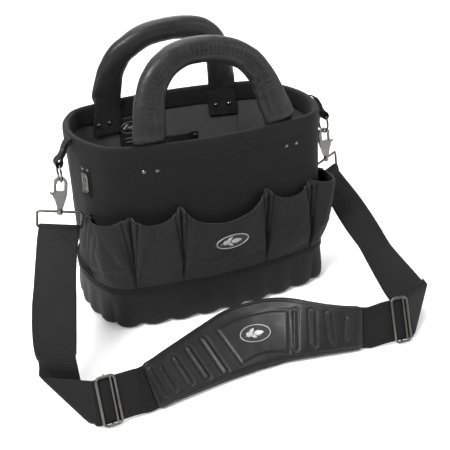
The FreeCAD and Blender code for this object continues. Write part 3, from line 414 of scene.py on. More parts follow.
def wall(x, y, z, off):
    a, b, cx, cy, r = oval_size(z, off)
    rf, yf, re, xe = oval_arcs(a, b, cx, cy, r)
    df, de = math.atan2(cy - yf, cx), math.atan2(cy, cx - xe)
    sx, sy = (1 if x >= 0 else -1), (1 if y >= 0 else -1)
    px, py = abs(x), abs(y)
    ang = math.atan2(py - cy, px - cx)
    tf = math.atan2(py - yf, px)
    te = math.atan2(py, px - xe)
    if (px <= cx and tf > df) or (ang > df and py > cy):
        t, c, rr = tf, (0, yf), rf
    elif (py <= cy and te < de) or ang < de:
        t, c, rr = te, (xe, 0), re
    else:
        t, c, rr = ang, (cx, cy), r
    n = (sx * math.cos(t), sy * math.sin(t))
    return np.array([sx * (c[0] + rr * math.cos(t)), sy * (c[1] + rr * math.sin(t)), z]), np.array([n[0], n[1], 0.0])


def ring_pts(z, off, per=(34, 14, 18)):
    """Points and outward normals round the oval, starting at the middle of the back, with a fixed number per arc."""
    a, b, cx, cy, r = oval_size(z, off)
    rf, yf, re, xe = oval_arcs(a, b, cx, cy, r)
    df, de = math.atan2(cy - yf, cx), math.atan2(cy, cx - xe)
    q = []      # first quadrant from +Y axis to +X axis
    for k in range(per[0] // 2):
        t = math.pi / 2 + (df - math.pi / 2) * k / (per[0] // 2)
        q.append((rf * math.cos(t), yf + rf * math.sin(t), math.cos(t), math.sin(t)))
    for k in range(per[1]):
        t = df + (de - df) * k / per[1]
        q.append((cx + r * math.cos(t), cy + r * math.sin(t), math.cos(t), math.sin(t)))
    for k in range(per[2] // 2):
        t = de * (1 - k / (per[2] // 2))
        q.append((xe + re * math.cos(t), re * math.sin(t), math.cos(t), math.sin(t)))
    q = np.array(q)
    m = len(q)
    # clockwise from +Y: quadrant 1 (+x,+y), then (+x,-y) reversed, (-x,-y), (-x,+y) reversed
    end = np.array([[a, 0, 1, 0]])
    q1 = q
    q2 = np.vstack([end, q[1:][::-1]])
    q2[:, 1] *= -1
    q2[:, 3] *= -1
    top = np.array([[0, -b, 0, -1]])
    q3 = np.vstack([top, q[1:]])
    q3[1:, 0] *= -1
    q3[1:, 1] *= -1
    q3[1:, 2] *= -1
    q3[1:, 3] *= -1
    end2 = np.array([[-a, 0, -1, 0]])
    q4 = np.vstack([end2, q[1:][::-1]])
    q4[1:, 0] *= -1
    q4[1:, 2] *= -1
    A = np.vstack([q1, q2, q3, q4])
    P = np.c_[A[:, 0], A[:, 1], np.full(len(A), z)]
    Nn = np.c_[A[:, 2], A[:, 3], np.zeros(len(A))]
    return P, Nn


_rp, _ = ring_pts(200, 0)
_d = np.linalg.norm(np.roll(_rp, -1, 0) - _rp, axis=1)
ARC = np.r_[0, np.cumsum(_d)][:-1]
PERIM = float(_d.sum())
NR = len(_rp)


def ring_surface(name, levels, mat, disp=None, flip=False, thick=None, close_bottom=False):
    """levels: list of (z, off). disp(s, z, x, y) adds to the offset."""
    verts, uvs = [], []
    vv = 0.0
    for k, (z, off) in enumerate(levels):
        P, Nn = ring_pts(max(z, 0), off)
        if k:
            vv += math.hypot(z - levels[k - 1][0], off - levels[k - 1][1])
        for i in range(NR):
            d = disp(ARC[i], z, P[i][0], P[i][1]) if disp else 0.0
            p = P[i] + Nn[i] * d
            verts.append((p[0], p[1], z))
            uvs.append((ARC[i] * MM, vv * MM))
    faces = grid_faces(len(levels), NR, close_v=True, flip=not flip)
    if close_bottom:
        c = len(verts)
        verts.append((0, 0, levels[0][0]))
        uvs.append((0, 0))
        for i in range(NR):
            j = (i + 1) % NR
            faces.append((c, j, i) if not flip else (c, i, j))
    ob = make(name, verts, faces, mat, uvs)
    if thick:
        solidify(ob, thick)
    return ob


def nz3(x, y, z, s):
    return noise.noise(Vector((x * s, y * s, z * s)))

# ---------------------------------------------------------------- cloth


def relax_cloth(ob, pin, frames=14, shrink=-0.04, pressure=0.0, gravity=0.0, cap=6.0, stiff=12.0, grid=None):
    """Runs a short cloth simulation on ob, with pinned vertices held, and keeps the result as its mesh."""
    me = ob.data
    base = np.empty(len(me.vertices) * 3)
    me.vertices.foreach_get("co", base)
    base = base.reshape(-1, 3)
    g = ob.vertex_groups.new(name="pin")
    for i, w in enumerate(pin):
        if w > 0.001:
            g.add([i], float(w), "REPLACE")
    md = ob.modifiers.new("cloth", "CLOTH")
    st = md.settings
    st.quality = 6
    st.mass = 0.12
    st.tension_stiffness = st.compression_stiffness = stiff
    st.shear_stiffness = stiff * 0.6
    st.bending_stiffness = 3.0
    st.air_damping = 3.0
    st.shrink_min = shrink
    st.vertex_group_mass = "pin"
    st.effector_weights.gravity = gravity
    if pressure:
        st.use_pressure = True
        st.uniform_pressure_force = pressure
    md.collision_settings.use_collision = False
    md.point_cache.frame_start = 1
    md.point_cache.frame_end = frames
    sc = bpy.context.scene
    for f in range(1, frames + 1):
        sc.frame_set(f)
    dg = bpy.context.evaluated_depsgraph_get()
    ev = ob.evaluated_get(dg).to_mesh()
    co = np.empty(len(ev.vertices) * 3)
    ev.vertices.foreach_get("co", co)
    co = co.reshape(-1, 3)
    ob.evaluated_get(dg).to_mesh_clear()
    ob.modifiers.remove(md)
    sc.frame_set(1)
    if len(co) == len(base) and np.isfinite(co).all():
        d = co - base
        if grid:
            D = d.reshape(grid[0], grid[1], 3)
            for _ in range(4):
                E = D.copy()
                E[1:-1, 1:-1] = (D[:-2, 1:-1] + D[2:, 1:-1] + D[1:-1, :-2] + D[1:-1, 2:] + 2 * D[1:-1, 1:-1]) / 6
                D = E
            d = D.reshape(-1, 3)
        L = np.linalg.norm(d, axis=1)
        k = np.minimum(1.0, cap * MM / np.maximum(L, 1e-9))
        me.vertices.foreach_set("co", (base + d * k[:, None]).ravel())
        me.update()
    ob.vertex_groups.clear()


# ---------------------------------------------------------------- shell and lining
def shell_disp(s, z, x, y):
    f = min(1.0, max(0.0, (z - 60) / 40.0)) * min(1.0, max(0.0, (236 - z) / 30.0))
    return f * (1.0 * nz3(x, y, z * 0.6, 0.016) + 0.35 * nz3(x, y, z, 0.05)) + 0.12 * nz3(x, y, z, 0.16)


lv = [(4.2, 0)] + [(z, 0) for z in np.linspace(20, 236, 44)] + [(240.3, -0.1)]
shell = ring_surface("shell_cloth", lv, BLACK, shell_disp)
solidify(shell, 1.7)
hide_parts("outer_shell")
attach(shell, "root")


def lining_disp(s, z, x, y):
    f = min(1.0, max(0.0, z / 30.0)) * min(1.0, max(0.0, (230 - z) / 30.0))
    return -f * (0.55 + 0.55 * nz3(x + 90, y, z * 0.5, 0.022) + 0.25 * nz3(x, y, z, 0.07))


lv = [(5.9, -12.0), (6.0, -8.5), (7.4, -6.0)] + [(z, -4.1) for z in np.linspace(12, 238, 40)]
lin = ring_surface("lining_cloth", lv, LINING, lining_disp, flip=True, close_bottom=True)
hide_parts("lining")
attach(lin, "root")

# ---------------------------------------------------------------- rim binding


def bind_disp(s, z, x, y):
    return 0.22 * nz3(x, y, z * 2, 0.06) + 0.10 * math.sin(s * 2 * math.pi / 5.2) * math.exp(-((z - 221) / 3.0) ** 2)


lv = [(218.0, 1.0), (218.4, 1.5), (220.9, 1.25), (224, 1.6), (231, 1.65), (238, 1.55), (240.8, 1.1), (242.0, -0.1), (242.4, -1.6), (242.4, -2.9), (242.0, -4.3), (240.8, -5.5), (238, -5.9), (231, -6.0), (224, -5.95), (220.9, -5.6), (218.4, -5.85), (218.0, -5.3)]
bind = ring_surface("rim_binding_web", lv, BIND, bind_disp)
solidify(bind, 0.8)
P, Nn = ring_pts(220.9, 1.35)
so = stitches("rim_stitch_out", np.vstack([P, P[:1]]), np.vstack([Nn, Nn[:1]]))
P, Nn = ring_pts(220.9, -5.75)
si = stitches("rim_stitch_in", np.vstack([P, P[:1]]), -np.vstack([Nn, Nn[:1]]))
rs = join("rim_stitches", [so, si])
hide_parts("rim_binding")
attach(bind, "root")
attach(rs, "root")

# ---------------------------------------------------------------- boot
FL = PERIM / 27.0


def boot_disp(s, z, x, y):
    g = abs(math.sin(math.pi * (s + 6.0) / FL))
    depth = np.interp(z, [0, 3, 10, 24, 36, 46, 60], [4.5, 5.6, 5.4, 4.2, 2.4, 0.2, 0.0])
    return depth * (g ** 0.7 - 1.0) + 0.2 * nz3(x, y, z, 0.05)


lv = [(0.25, -12.0), (0.05, -5.0), (0.25, 1.0), (0.9, 4.0), (2.2, 6.2), (4.6, 7.8), (8, 8.6), (13, 8.9), (19, 8.8), (26, 8.2), (32, 7.6), (37, 7.0), (41, 6.5), (44.5, 6.1), (47, 5.85), (48.4, 5.8), (50.5, 5.9), (56.0, 5.6), (59.0, 5.3), (60.0, 4.2), (60.2, 0.6)]
boot = ring_surface("boot_fluted", lv, BOOT, boot_disp, close_bottom=True)
# the foot of each flute lifts a little between the lobes
_c = np.empty(len(boot.data.vertices) * 3)
boot.data.vertices.foreach_get("co", _c)
_c = _c.reshape(-1, 3)
for k in range(len(lv)):
    for i in range(NR):
        z0 = _c[k * NR + i][2] / MM
        if k >= 1 and z0 < 24:
            g = abs(math.sin(math.pi * (ARC[i] + 6.0) / FL))
            _c[k * NR + i][2] += MM * 3.2 * (1 - g ** 0.6) * (1 - z0 / 24) ** 2
boot.data.vertices.foreach_set("co", _c.ravel())
boot.data.update()
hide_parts("rubber_boot")
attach(boot, "root")


def hem_disp(s, z, x, y):
    return 0.2 * nz3(x, y, z, 0.05)


lv = [(49.0, 6.0), (49.2, 6.9), (50.3, 7.35), (54.5, 7.2), (58.6, 6.8), (59.7, 6.3), (59.9, 5.2)]
bh = ring_surface("boot_hem_web", lv, BIND, hem_disp)
P, Nn = ring_pts(51.4, 7.35)
s1 = stitches("boot_stitch_a", np.vstack([P, P[:1]]), np.vstack([Nn, Nn[:1]]))
P, Nn = ring_pts(58.0, 6.9)
s2 = stitches("boot_stitch_b", np.vstack([P, P[:1]]), np.vstack([Nn, Nn[:1]]))
bs = join("boot_hem_stitches", [s1, s2])
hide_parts("boot_hem")
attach(bh, "root")
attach(bs, "root")

# ---------------------------------------------------------------- pockets
POCKETS = {
    "pocket_end_left": [(-159.5, -47, 150), (-161.3, -62, 149), (-161.0, -78, 150), (-156, -93, 152), (-147, -102, 154), (-136, -106, 157.5), (-125, -108, 160)],
    "pocket_left": [(-123.6, -108.3, 160), (-116, -112.5, 154), (-106, -113.5, 149.5), (-96, -113, 148), (-85, -113, 149), (-74, -113.5, 154), (-63.8, -114, 163)],
    "pocket_centre": [(-62.6, -114, 163), (-50, -117.5, 148), (-36, -119, 140), (-20, -119.5, 136), (-5, -119.5, 134.5), (12, -119, 137), (28, -118, 143), (40, -116, 151), (51.4, -112.5, 163)],
    "pocket_right": [(52.6, -112.3, 163), (60, -113.5, 155), (70, -113, 149), (84, -110, 145), (97, -106.5, 145), (109, -101.2, 147.5), (120.2, -94.6, 154)],
    "pocket_end_right": [(121.6, -94.0, 155), (130, -94.5, 152), (140, -96.5, 150), (150, -97, 149), (158, -90, 148), (161, -77, 149), (160.5, -62, 150), (158, -47, 150)],
    "back_pocket_left": [(-118, 108, 160), (-106, 114, 157), (-88, 116.5, 155), (-70, 117.5, 156), (-60.6, 117, 158)],
    "back_pocket_centre": [(-59.4, 117, 158), (-35, 120, 154), (0, 121, 152), (35, 120, 154), (59.4, 117, 158)],
    "back_pocket_right": [(60.6, 117, 158), (70, 117.5, 156), (88, 116.5, 155), (106, 114, 157), (118, 108, 160)],
}


def catmull(pts, n):
    P = np.array(pts, float)
    s = np.r_[0, np.cumsum(np.linalg.norm(np.diff(P, axis=0), axis=1))]
    T = np.gradient(P, s, axis=0)
    out = []
    for t in np.linspace(0, s[-1], n):
        k = min(max(int(np.searchsorted(s, t)) - 1, 0), len(P) - 2)
        h = s[k + 1] - s[k]
        u = (t - s[k]) / h
        out.append((2 * u ** 3 - 3 * u ** 2 + 1) * P[k] + (u ** 3 - 2 * u ** 2 + u) * h * T[k] + (-2 * u ** 3 + 3 * u ** 2) * P[k + 1] + (u ** 3 - u ** 2) * h * T[k + 1])
    return np.array(out), s[-1]


class Pocket:
    def __init__(self, name, stations, nu=56, nv=40, ridge=4.2, bulge=2.6):
        self.name = name
        H, self.width = catmull(stations, nu)
        self.nu, self.nv = nu, nv
        G = np.zeros((nv, nu, 3))
        NN = np.zeros((nv, nu, 3))
        self.fs = np.linspace(0, 1, nv)
        W = self.width
        es = np.linspace(0, W, nu)
        lifts = []
        for j in range(nu):
            b, _ = wall(H[j][0], H[j][1], H[j][2], 0)
            lifts.append(math.hypot(H[j][0] - b[0], H[j][1] - b[1]))
        foot = 5.2
        ec = min(0.30 * W, 26.0)
        for j in range(nu):
            x, y, zh = H[j]
            e = es[j]
            d = min(e, W - e)
            for i, f in enumerate(self.fs):
                z = 60.3 + (zh - 60.3) * f
                # folds fan out from the lower corners: the rim's profile shrinks towards them
                g = max(f, 0.07) ** 0.95
                dt = min(d / g, W / 2)
                et = dt if e <= W / 2 else W - dt
                lift = max(np.interp(et, es, lifts), foot)
                off = foot + (lift - foot) * f ** 0.8
                q = min(1.0, max(0.0, (dt - 8.0 * (1 - 0.3 * f)) / (ec - 8.0)))
                off += bulge * q * q * (3 - 2 * q) * math.sin(math.pi * (f * 0.80 + 0.10)) * (0.4 + 0.6 * min(1.0, f * 3))
                # pleats beside the seams: a raised fold, a valley and a second, lower fold
                pl = math.exp(-((dt - 5.2) / 2.3) ** 2) - 0.85 * math.exp(-(dt / 2.2) ** 2) - 0.35 * math.exp(-((dt - 9.6) / 2.0) ** 2) + 0.30 * math.exp(-((dt - 13.5) / 2.2) ** 2)
                off += ridge * f ** 0.9 * pl
                off += 0.5 * f * nz3(x, y, z, 0.035)
                off = max(off, 2.6)
                p, n = wall(x, y, z, off)
                G[i, j] = p
                NN[i, j] = n
        self.G, self.NN = G, NN

    def build(self, mat):
        nv, nu = self.nv, self.nu
        verts = self.G.reshape(-1, 3)
        su = np.linspace(0, self.width, nu)
        uvs = []
        for i in range(nv):
            for j in range(nu):
                uvs.append((su[j] * MM, self.G[i, j, 2] * MM))
        ob = make(self.name + "_cloth", verts, grid_faces(nv, nu), mat, uvs)
        pin = np.zeros((nv, nu))
        pin[0] = pin[-1] = 1
        pin[:, 0] = pin[:, -1] = 1
        pin[1] = np.maximum(pin[1], 0.5)
        relax_cloth(ob, pin.ravel(), shrink=-0.014, pressure=0.15, cap=2.2, stiff=20.0, grid=(nv, nu))
        co = np.empty(len(ob.data.vertices) * 3)
        ob.data.vertices.foreach_get("co", co)
        self.G = co.reshape(nv, nu, 3) / MM
        # keep the cloth outside the wall
        for i in range(nv):
            for j in range(nu):
                p = self.G[i, j]
                b, n = wall(p[0], p[1], p[2], 0)
                d = float(np.dot(p - b, n))
                if d < 2.4:
                    self.G[i, j] = p + n * (2.4 - d)
        ob.data.vertices.foreach_set("co", (self.G * MM).ravel())
        ob.data.update()
        # smooth normals of the grid
        du = np.gradient(self.G, axis=1)
        dv = np.gradient(self.G, axis=0)
        n = np.cross(du, dv)
        n /= np.linalg.norm(n, axis=2)[..., None] + 1e-9
        s = np.sign((n * self.NN).sum(-1).mean())
        self.N = n * s
        self.ob = ob
        solidify(ob, 1.5, offset=-1.0)
        return ob

    def at(self, x, z):
        """Surface point and normal at given x (front pockets) and z."""
        best = None
        e = (self.G[..., 0] - x) ** 2 + (self.G[..., 2] - z) ** 2
        i, j = np.unravel_index(int(e.argmin()), e.shape)
        i = min(max(i, 1), self.nv - 2)
        j = min(max(j, 1), self.nu - 2)
        gu, gv = (self.G[i, j + 1] - self.G[i, j - 1]) / 2, (self.G[i + 1, j] - self.G[i - 1, j]) / 2
        A = np.array([[gu[0], gv[0]], [gu[2], gv[2]]])
        r = np.linalg.solve(A, np.array([x - self.G[i, j, 0], z - self.G[i, j, 2]]))
        return self.G[i, j] + gu * r[0] + gv * r[1], self.N[i, j]

    def hem(self, mat):
        nu = self.nu
        k1 = self.nv - 1
        rows = []
        top = self.G[k1]
        down = self.G[k1 - 4] - top
        L = np.linalg.norm(down, axis=1)[:, None]
        down = down / L
        nn = self.N[k1]
        prof = [(7.0, 0.55), (6.4, 0.95), (3.5, 1.0), (0.8, 0.95), (-0.5, 0.35), (-0.8, -0.7), (-0.5, -1.8), (0.8, -2.45), (3.5, -2.5), (6.4, -2.4), (7.0, -2.0)]
        verts, uvs = [], []
        for a, b in prof:
            for j in range(nu):
                verts.append(top[j] + down[j] * a + nn[j] * b)
                uvs.append((j / nu * self.width * MM, (a + 8) * MM))
        ob = make(self.name.replace("pocket", "hem") + "_web", verts, grid_faces(len(prof), nu), mat, uvs)
        st = stitches("st", top + down * 5.4 + nn * 1.0, nn, length=2.2, gap=1.4, rad=0.28)
        # thin lighter tube on the hem's top fold: a painted highlight along the crest of the binding
        edge = tube("edge", top - nn * 0.75 + down * 0.1, 1.0, HEM_HIGHLIGHT, seg=8)
        ob2 = join(ob.name, [ob, st, edge])
        return ob2


pk = {}
for name, st in POCKETS.items():
    back = name.startswith("back")
    p = Pocket(name, st, nu=112 if name == "pocket_centre" else 80, ridge=2.4 if back else 4.4, bulge=3.0 if back else 7.0)
    ob = p.build(POCKET)
    pk[name] = p
    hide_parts(name)
    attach(ob, "root")
    h = p.hem(BIND)
    if not back:
        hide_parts(name.replace("pocket", "hem"))
    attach(h, "root")

# seams between pockets: a raised tape line down each join
seam = []
for a, b in (("pocket_end_left", "pocket_left"), ("pocket_left", "pocket_centre"), ("pocket_centre", "pocket_right"), ("pocket_right", "pocket_end_right"), ("back_pocket_left", "back_pocket_centre"), ("back_pocket_centre", "back_pocket_right")):
    A, B = pk[a], pk[b]
    ea, eb = A.G[:, -1], B.G[:, 0]
    if np.linalg.norm(ea[5] - eb[5]) > 8:
        ea, eb = A.G[:, 0], B.G[:, -1]
    mid = (ea + eb) / 2
    nn = (A.NN[:, -1] + B.NN[:, 0])
    nn /= np.linalg.norm(nn, axis=1)[:, None]
    # a narrow seam tape that closes the join
    verts, uvs = [], []
    for i in range(A.nv):
        t = np.cross(nn[i], [0, 0, 1.0])
        for q, hgt in ((-2.6, -0.4), (-1.2, 0.5), (0, 0.75), (1.2, 0.5), (2.6, -0.4)):
            verts.append(mid[i] + t * q + nn[i] * hgt)
            uvs.append((q * MM, i * MM * 3))
    tape = make("seam_tape", verts, grid_faces(A.nv, 5), BIND, uvs)
    solidify(tape, 0.7, offset=0)
    bpy.context.view_layer.update()
    seam.append(tape)
for k, t in enumerate(seam):
    t.name = "pocket_seam_%d" % k
    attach(t, "root")

# outer free side edges of the end pockets are bound down to the wall
for nm, col in (("pocket_end_left", 0), ("pocket_end_right", -1)):
    p = pk[nm]
    e = p.G[:, col]
    verts, uvs = [], []
    for i in range(p.nv):
        b, n = wall(e[i][0], e[i][1], e[i][2], 0.3)
        t = np.cross(n, [0, 0, 1.0])
        sgn = 1 if np.dot(t, [0, 1, 0]) > 0 else -1
        for q in (0, 0.33, 0.66, 1.0):
            c = e[i] * (1 - q) + (b + t * sgn * 5.0) * q
            verts.append(c + n * 0.4 * math.sin(math.pi * q))
            uvs.append((q * 0.01, i * 0.003))
    g = make(nm + "_gusset", verts, grid_faces(p.nv, 4), POCKET, uvs)
    solidify(g, 1.0, offset=0)
    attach(g, "root")

# ---------------------------------------------------------------- badges and leaf motif


def leaf_outline(L, W, n=9):
    """Half outline of a plain leaf: (along, half width)."""
    return [(L * k / n, W * math.sin(math.pi * (k / n) ** 0.8) ** 0.9) for k in range(n + 1)]


def leaf_mesh(place, L, W, ang, origin, h, mat, name):
    """place(x, z) -> (point, normal); a raised leaf with a centre crease."""
    verts, uvs = [], []
    ca, sa = math.cos(ang), math.sin(ang)
    rows = leaf_outline(L, W)
    cols = (-1, -0.94, -0.5, 0, 0.5, 0.94, 1)
    hh = (0.0, 0.75, 1.0, 0.45, 1.0, 0.75, 0.0)
    for a, w in rows:
        for c, q in zip(cols, hh):
            x = origin[0] + a * ca - c * w * sa
            z = origin[1] + a * sa + c * w * ca
            p, n = place(x, z)
            verts.append(p + n * (0.10 + h * q))
            uvs.append((x * MM, z * MM))
    return make(name, verts, grid_faces(len(rows), len(cols)), mat, uvs)


def oval_plate(place, cx, cz, a, b, ang, thick, mat, rim_mat, name, body, rep):
    """Domed oval plate with a raised rim and a three-leaf sprig."""
    ca, sa = math.cos(ang), math.sin(ang)
    prof = [(0.0, 1.0), (0.35, 0.98), (0.6, 0.93), (0.78, 0.86), (0.84, 0.80), (0.97, 0.78), (1.0, 0.45), (1.01, -0.4)]
    nr, na = len(prof), 56
    verts, uvs = [], []
    for r, h in prof:
        for k in range(na):
            t = 2 * math.pi * k / na
            u, v = a * r * math.cos(t), b * r * math.sin(t)
            x, z = cx + u * ca - v * sa, cz + u * sa + v * ca
            p, n = place(x, z)
            verts.append(p + n * (thick * h))
            uvs.append((x * MM, z * MM))
    plate = make("plate", verts, grid_faces(nr, na, close_v=True), mat, uvs)
    path = []
    for k in range(72):
        t = 2 * math.pi * k / 72
        u, v = a * 0.90 * math.cos(t), b * 0.90 * math.sin(t)
        x, z = cx + u * ca - v * sa, cz + u * sa + v * ca
        p, n = place(x, z)
        path.append(p + n * (thick * 0.85))
    rim = tube("rim", path, 0.62, rim_mat, seg=8, closed=True)
    parts = [plate, rim]

    def lift(x, z):
        p, n = place(x, z)
        return p + n * (thick * 0.9), n
    rot = lambda u, v: (cx + u * ca - v * sa, cz + u * sa + v * ca)
    for du, dv, L, W, an in ((-0.58 * a, -0.08 * b, 0.48 * a, 0.30 * b, math.radians(14)), (-0.1 * a, -0.05 * b, 0.62 * a, 0.32 * b, math.radians(4)), (-0.28 * a, -0.12 * b, 0.36 * a, 0.2 * b, math.radians(-32)), (-0.3 * a, 0.1 * b, 0.40 * a, 0.22 * b, math.radians(38))):
        parts.append(leaf_mesh(lift, L, W, ang + an, rot(du, dv), 0.45, rim_mat, "leaf"))
    stem = []
    for k in range(9):
        u = -0.72 * a + 1.2 * a * k / 8
        p, n = lift(*rot(u, -0.12 * b + 0.10 * b * math.sin(k / 8 * math.pi)))
        stem.append(p + n * 0.15)
    parts.append(tube("stem", stem, 0.32, rim_mat, seg=6))
    ob = join(name, parts)
    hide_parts(rep)
    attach(ob, body)
    return ob


cpk = pk["pocket_centre"]
_c0, _n0 = cpk.at(-1, 109)


def badge_place(x, z):
    """A stiff plate: nearly flat, following the pocket's large shape only."""
    dx, dz = x + 1, z - 109
    t = np.array([1.0, 0, 0])
    t = t - _nb * np.dot(t, _nb)
    t /= np.linalg.norm(t)
    u = np.cross(_nb, t)
    if u[2] < 0:
        u = -u
    sag = -(dx * dx) / 900.0
    return _c0 + t * dx + u * dz + _nb * (0.9 + sag), _nb


_nb = np.mean([cpk.at(-1 + q, 109 + r)[1] for q in (-14, 0, 14) for r in (-6, 0, 6)], axis=0)
_nb /= np.linalg.norm(_nb)
oval_plate(badge_place, -1, 109, 23.5, 9.8, math.radians(3), 1.6, BADGE, SILVER, "front_badge_plate", "root", "front_badge")

# tonal leaf row on the front wall, above the centre pocket


def wall_place(x, z):
    b, n = wall(x, -110.0, z, 0.0)
    return b + n * (shell_disp(0, z, b[0], b[1]) + 0.05), n


lf = []
for k in range(7):
    x0 = -52 + 15.5 * k
    up = 1 if k % 2 == 0 else -1
    lf.append(leaf_mesh(wall_place, 17.5, 4.2, math.radians(38 * up), (x0, 184 - 5 * up + k * 0.5), 0.9, TONAL, "leaf"))
vine = []
for k in range(40):
    x = -55 + 112 * k / 39
    p, n = wall_place(x, 184 + 2.2 * math.sin(k * 0.62) + x * 0.03)
    vine.append(p + n * 0.2)
lf.append(tube("vine", vine, 0.55, TONAL, seg=6))
tonal = join("tonal_leaf_row", lf)
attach(tonal, "root")

# ---------------------------------------------------------------- inside pieces
IN = -4.6


def in_surface(name, xs, zs, offf, mat, thick=1.0):
    verts, uvs = [], []
    for z in zs:
        for x in xs:
            p, n = wall(x, 105.0, z, IN - offf(x, z))
            verts.append(p)
            uvs.append((x * MM, z * MM))
    ob = make(name, verts, grid_faces(len(zs), len(xs)), mat, uvs)
    solidify(ob, thick, offset=0)
    return ob


xs = np.linspace(-46, 107, 60)
zs = np.linspace(40, 163, 34)


def ip_off(x, z):
    e = min(x + 46, 107 - x)
    side = min(1.0, max(0.0, e / 7.0)) ** 0.7
    f = (z - 40) / 123.0
    mid = 1.0 + 0.4 * math.sin((x + 46) / 153 * math.pi * 3) * f
    return 0.9 + side * (1.6 + 4.6 * f * mid) + 0.4 * nz3(x, 5, z, 0.04)


ip = in_surface("inner_pocket_cloth", xs, zs, ip_off, LINING)
hx = np.linspace(-46, 107, 80)
hv, hu = [], []
prof = [(-8, 0.8), (-7.4, 1.3), (-3, 1.35), (0.2, 1.2), (0.9, 0.2), (0.2, -0.8), (-6, -0.9)]
for a, b in prof:
    for x in hx:
        z = 163 + a
        p, n = wall(x, 105.0, z, IN - ip_off(x, min(z, 163)) - b)
        hv.append(p)
        hu.append((x * MM, a * MM))
ih = make("inner_pocket_hem", hv, grid_faces(len(prof), len(hx)), BIND, hu)
sp, sn = [], []
for x in hx:
    p, n = wall(x, 105.0, 157.5, IN - ip_off(x, 157.5) - 1.5)
    sp.append(p)
    sn.append(-n)
ist = stitches("ist", sp, sn)
sp, sn = [], []
for z in np.linspace(42, 214, 60):
    q = 107 if z < 168 else 107
    p, n = wall(q, 105.0, z, IN - 1.0 if z > 168 else IN - ip_off(106, z) - 0.8)
    sp.append(p)
    sn.append(-n)
ist2 = stitches("ist2", sp, sn)
ih = join("inner_pocket_hem", [ih, ist, ist2])
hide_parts("inner_pocket")
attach(ip, "root")
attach(ih, "root")

xs = np.linspace(-12, 44, 40)
zs = np.linspace(167, 179, 8)
loop = in_surface("tool_loop_web", xs, zs, lambda x, z: 1.2 + 5.2 * min(1.0, max(0.0, min(x + 4, 36 - x) / 8.0)) ** 0.8, WEB, 1.5)
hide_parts("inner_tool_loop")
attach(loop, "root")


def rivet(name, p, n, r=3.2, h=1.5, mat=None):
    """Domed rivet cap with a small flange."""
    n = np.array(n, float)
    n /= np.linalg.norm(n)
    a = np.cross(n, [0, 0, 1.0])
    if np.linalg.norm(a) < 1e-3:
        a = np.array([1.0, 0, 0])
    a /= np.linalg.norm(a)
    b = np.cross(n, a)
    prof = [(1.0, -0.3), (1.0, 0.18), (0.95, 0.30), (0.86, 0.34), (0.78, 0.42), (0.66, 0.66), (0.48, 0.86), (0.26, 0.97), (0.04, 1.0)]
    verts = []
    for q, hh in prof:
        for k in range(20):
            t = 2 * math.pi * k / 20
            verts.append(np.array(p) + n * (h * hh) + r * q * (math.cos(t) * a + math.sin(t) * b))
    f = grid_faces(len(prof), 20, close_v=True)
    f.append(tuple(range((len(prof) - 1) * 20, len(prof) * 20)))
    return make(name, verts, f, mat or RIVET, [(0, 0)] * len(verts))


rr = []
for x in (-8.0, 40.0):
    p, n = wall(x, 105.0, 173.0, IN - 2.3)
    rr.append(rivet("r", p, -n, 3.0, 1.4))
p, n = wall(28.5, 105.0, 158.5, IN - ip_off(28.5, 158.5) - 1.5)
rr.append(rivet("r", p, -n, 3.0, 1.4))
for x, z in ((150, 171),):
    p, n = wall(x, 60.0, z, IN - 0.2)
    rr.append(rivet("r", p, -n, 2.6, 1.2))
o = join("loop_rivet_caps", rr)
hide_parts("loop_rivets")
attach(o, "root")

xs = np.linspace(-74, -42, 16)
zs = np.linspace(172, 214, 18)
lab = in_surface("label_patch", xs, zs, lambda x, z: 0.9 + 0.3 * nz3(x, 1, z, 0.05), LABEL, 0.8)


def lab_place(x, z):
    p, n = wall(x, 105.0, z, IN - 1.7)
    return p, -n


def lab_oval():
    path = []
    for k in range(60):
        t = 2 * math.pi * k / 60
        p, n = lab_place(-58 + 13.5 * math.cos(t), 201 + 8.0 * math.sin(t))
        path.append(p)
    items = [tube("o", path, 0.4, SILVER, seg=6, closed=True)]
    for ox, oz, L, W, an in ((-68, 200, 10, 2.4, 14), (-60, 200, 13, 2.8, -2), (-64, 201, 8, 2.0, 46)):
        items.append(leaf_mesh(lab_place, L, W, math.radians(an), (ox, oz), 0.3, SILVER, "lf"))
    items.append(leaf_mesh(lab_place, 22, 0.6, 0.0, (-69, 186), 0.25, SILVER, "ln"))
    items.append(leaf_mesh(lab_place, 16, 0.6, 0.0, (-66, 181), 0.25, SILVER, "ln"))
    return items


lab2 = join("label_motif", lab_oval())
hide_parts("inner_label")
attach(lab, "root")
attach(lab2, "root")

